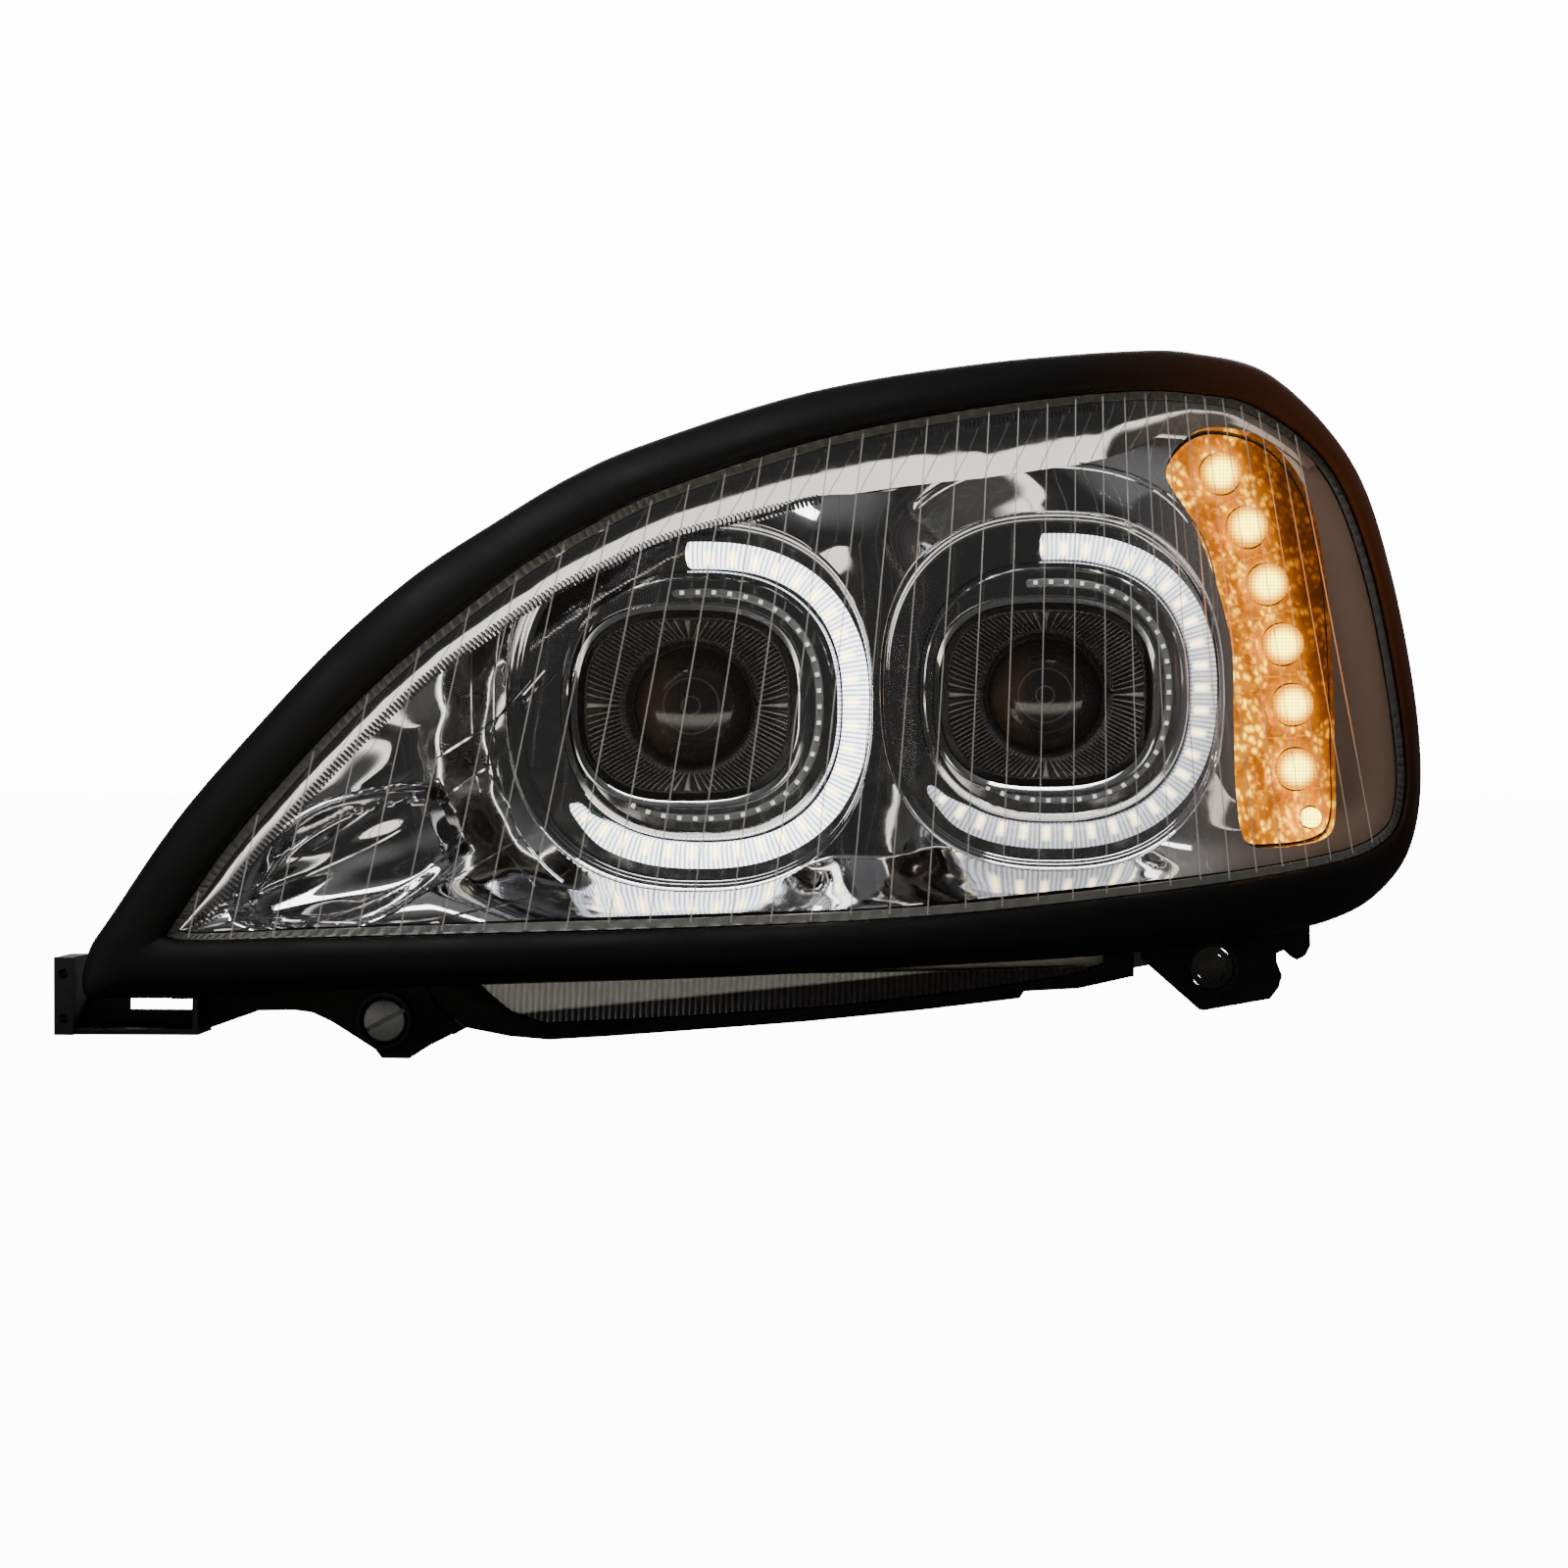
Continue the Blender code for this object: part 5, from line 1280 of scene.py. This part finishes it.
def fluted_strip(name, x_range, top, bottom, back, thickness):
    """A strip with upright flutes on its front, between two edges given as functions of x."""
    columns = np.arange(x_range[0], x_range[1], 0.0004)
    rows = []
    for t in np.linspace(0.0, 1.0, 6):
        row = []
        for x in columns:
            z = bottom(x) + (top(x) - bottom(x)) * t
            cut = 0.0005 * math.cos(2 * math.pi * x / LOWER_FLUTE)
            row.append((x, lens_depth(x, z) + back - cut, z))
        rows.append(row)
    for edge in (top, bottom):
        rows.append([(x, lens_depth(x, edge(x)) + back + thickness, edge(x)) for x in columns])
    return skin(name, rows, ring=False)


strip = fluted_strip(
    "lower_pane",
    (0.2062, 0.530),
    lambda x: 0.0065,
    lambda x: min(float(np.interp(x, lower_x, lower_z)) + 0.0008, 0.006),
    0.0292,
    0.0024,
)
show("lower_pane", strip, fluted_polycarbonate, nodes=["lower_window"], angle=50)

# ---------------------------------------------------------------- black plastic mouldings
# Housing, tray, brackets and sockets are glass-filled polypropylene, moulded with a fine matt grain.
# Their edges are slightly rounded, as a mould leaves them.

polypropylene = grained(
    "glass-filled polypropylene", "#080707", {"Specular IOR Level": 0.25}, 0.0011, 0.00005, (0.42, 0.62)
)


def rounded_copy(name, node, width, angle=30.0):
    """Stands for a black plastic CAD node: the same shape with its hard edges rounded."""
    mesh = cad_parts[node].data.copy()
    bm = bmesh.new()
    bm.from_mesh(mesh)
    bmesh.ops.remove_doubles(bm, verts=bm.verts[:], dist=1e-6)
    bmesh.ops.dissolve_limit(bm, angle_limit=math.radians(1.0), verts=bm.verts[:], edges=bm.edges[:])
    bm.to_mesh(mesh)
    bm.free()
    made = show(name, mesh, polypropylene, nodes=[node], angle=angle)
    bevel = made.modifiers.new("edges", "BEVEL")
    bevel.width = width
    bevel.segments = 2
    bevel.limit_method = "ANGLE"
    bevel.angle_limit = math.radians(angle)
    bevel.harden_normals = False
    return made


for name, node, width in (
    ("tray_moulding", "lower_tray", 0.0005), ("inner_end_bracket", "inner_bracket", 0.0006),
    ("outer_foot_bracket", "outer_bracket", 0.0006), ("plug_socket", "connector_socket", 0.0005),
    ("pivot_pillar", "pivot_post", 0.0003),
):
    rounded_copy(name, node, width)


def dress(node, material):
    """Gives a CAD node that stays in view its material."""
    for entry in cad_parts[node].material_slots:
        entry.material = material


rounded_copy("housing_shell", "housing", 0.0008, angle=38.0)

# Stiffening ribs cross both steps of the back wall, and stop short of everything mounted on it.
BACK_EDGE = [
    (0.140, 0.020), (0.133, 0.062), (0.141, 0.120), (0.188, 0.185), (0.258, 0.235), (0.374, 0.275),
    (0.455, 0.290), (0.530, 0.298), (0.572, 0.299), (0.615, 0.292), (0.655, 0.260), (0.676, 0.210),
    (0.684, 0.150), (0.680, 0.090), (0.664, 0.045), (0.630, 0.010), (0.555, -0.010), (0.440, -0.015),
    (0.330, -0.015), (0.230, -0.010), (0.175, 0.000),
]
BACK_MIDDLE = (0.415, 0.14)
back_loop = [(p.x, p.y) for p in spline(scaled(BACK_EDGE, BACK_MIDDLE, 0.96, 0.95), 6)]
MOUNTED = [
    (0.309, 0.151, 0.052), (0.508, 0.158, 0.052), (0.402, 0.100, 0.018), (0.600, 0.060, 0.030),
    (0.600, 0.205, 0.016), (0.480, 0.242, 0.026), (0.520, 0.242, 0.030), (0.502, 0.242, 0.030),
    (0.159, 0.100, 0.016),
]
BACK_STEP = (0.418, 0.462)
rib_lines = []
paths = [[(x, z) for z in np.arange(-0.02, 0.31, 0.002)] for x in np.arange(0.170, 0.680, 0.030)]
paths += [[(x, z) for x in np.arange(0.13, 0.69, 0.002)] for z in np.arange(0.020, 0.290, 0.045)]
for path in paths:
    kept = inside(np.array(path), back_loop)
    run = []
    for (x, z), good in zip(path, kept):
        clear = all(math.hypot(x - cx, z - cz) > r for cx, cz, r in MOUNTED)
        clear = clear and not BACK_STEP[0] < x < BACK_STEP[1]
        if good and clear:
            wall = PROJECTORS["inner" if x < BACK_STEP[0] else "outer"]["port"]
            run.append((x, wall + 0.0012, z))
        else:
            rib_lines.append(run)
            run = []
    rib_lines.append(run)
rib_lines = [run for run in rib_lines if len(run) > 6]
stiffeners = grown_mesh(
    "back_ribs", rib_lines, bars_tree("stiffening ribs", polypropylene), {"Width": 0.0018, "Height": 0.0040}
)
show("back_ribs", stiffeners, polypropylene, angle=30)

# A thin moulded membrane closes the outer bracket's sleeve until its bolt is pushed through.
membrane = turned_mesh(
    "sleeve_membrane",
    (0.6014, 0.0028),
    [(0.0, 0.1790), (0.0050, 0.1788), (0.0083, 0.1782), (0.0083, 0.1800), (0.0, 0.1802)],
    40,
)
umber_plastic = grained(
    "thin moulded polypropylene", "#3a322d", {"Specular IOR Level": 0.4}, 0.0012, 0.00004, (0.35, 0.5)
)
show("sleeve_membrane", membrane, umber_plastic)

# ---------------------------------------------------------------- metal, glass and small fittings
# What shows of the mechanism: zinc-plated steel pressings, die-cast aluminium, nylon nuts and rubber seals.

zinc_steel = grained(
    "zinc-plated steel", "#8d8f92", {"Metallic": 1.0, "Roughness": 0.35}, 0.0025, 0.00004, (0.28, 0.48)
)
cast_aluminium = grained(
    "die-cast aluminium", "#8f9092", {"Metallic": 1.0, "Roughness": 0.45}, 0.0014, 0.00008, (0.38, 0.58)
)
nylon = grained(
    "natural nylon",
    "#c9c6bb",
    {"Roughness": 0.45, "Specular IOR Level": 0.5},
    0.0018,
    0.00004,
    (0.38, 0.55),
)
solder_mask = grained("green solder mask", "#0f3a22", {"Roughness": 0.4}, 0.0012, 0.00003, (0.32, 0.5))
bulb_glass, *_ = material_start(
    "quartz glass", "#f2f4f5", {"Transmission Weight": 1.0, "IOR": 1.46, "Roughness": 0.01}
)
plated_brass = grained(
    "tin-plated brass", "#b59a5a", {"Metallic": 1.0, "Roughness": 0.3}, 0.001, 0.00002, (0.22, 0.38)
)
cap_rubber = grained(
    "EPDM cap rubber", "#141414", {"Specular IOR Level": 0.35}, 0.0012, 0.00005, (0.5, 0.7)
)

for node in (
    "carrier", "pivot_ball", "cutoff_shield", "bulb_clip_inner", "bulb_clip_outer", "bulb_base_inner",
    "bulb_base_outer",
):
    dress(node, zinc_steel)
dress("mount_sleeve", black_steel)
for node in ("lens_holder_inner", "lens_holder_outer", "led_driver"):
    dress(node, cast_aluminium)

# The aiming screw: a round slotted head with a softened rim, on a threaded shank.
SCREW = (0.159, -0.015)
head = [
    (0.0, 0.0124), (0.0113, 0.0124), (0.0114, 0.0096), (0.0118, 0.0092), (0.0124, 0.0102), (0.0124, 0.0136),
    (0.0118, 0.0145), (0.0040, 0.0145),
]
shank = [(0.0040 - 0.0006 * (i % 2), 0.0150 + i * 0.0010) for i in range(174)]
screw = bmesh.new()
screw.from_mesh(turned_mesh("head", SCREW, head + shank + [(0.0, 0.1892)], 40))
slit, radius, steps = 0.0013, 0.0112, 22
across, up = math.cos(math.radians(28)), math.sin(math.radians(28))
for half_side in (-1, 1):
    start = math.asin(slit / radius)
    arc = [start + (math.pi - 2 * start) * i / steps for i in range(steps + 1)]
    flat = [(radius * math.cos(a), radius * math.sin(a) * half_side) for a in arc]
    rows = []
    for shrink, depth in ((1.0, 0.0125), (1.0, 0.0066), (0.96, 0.0058), (0.90, 0.0055)):
        half = [(u * shrink, v * shrink) for u, v in flat]
        rows.append(
            [(SCREW[0] + u * across - v * up, depth, SCREW[1] + u * up + v * across) for u, v in half]
        )
    screw.from_mesh(skin("half", rows, tube=False, caps=True))
mesh = bpy.data.meshes.new("slotted_screw")
screw.to_mesh(mesh)
screw.free()
show("slotted_screw", mesh, cast_aluminium, "tilt_adjuster", ["tilt_screw"], angle=35)
for node in ("tilt_nut", "turn_nut", "turn_screw", "lower_reflector"):
    dress(node, nylon)
for node in ("drl_board_inner", "drl_board_outer", "signal_board"):
    dress(node, solder_mask)
for node in ("bulb_inner", "bulb_outer"):
    dress(node, bulb_glass)
for node in ("reflector_bowl_inner", "reflector_bowl_outer"):
    dress(node, metallised)
for node in (
    "lens_seal", "tilt_seal", "turn_seal", "breather", "service_cap_inner", "service_cap_outer",
    "cap_seal_inner", "cap_seal_outer",
):
    dress(node, cap_rubber)
dress("connector_pins", plated_brass)

# Grip ridges stand round each service cap's rim.
CAP_RADIUS = 0.0447
for side, unit in PROJECTORS.items():
    centre = unit["beam"]
    wall = unit["port"]
    rim_line = [
        (centre[0] + CAP_RADIUS * math.cos(a), wall + 0.0130, centre[1] + CAP_RADIUS * math.sin(a))
        for a in np.linspace(0, 2 * math.pi, 121)
    ]
    ridges = grown_mesh(
        "cap_ridges_" + side,
        [rim_line],
        row_tree("cap ridges", cap_rubber),
        {"Spacing": 0.0078, "Size": (0.0036, 0.0140, 0.0020)},
    )
    show("cap_ridges_" + side, ridges, cap_rubber, "cap_" + side, angle=30)
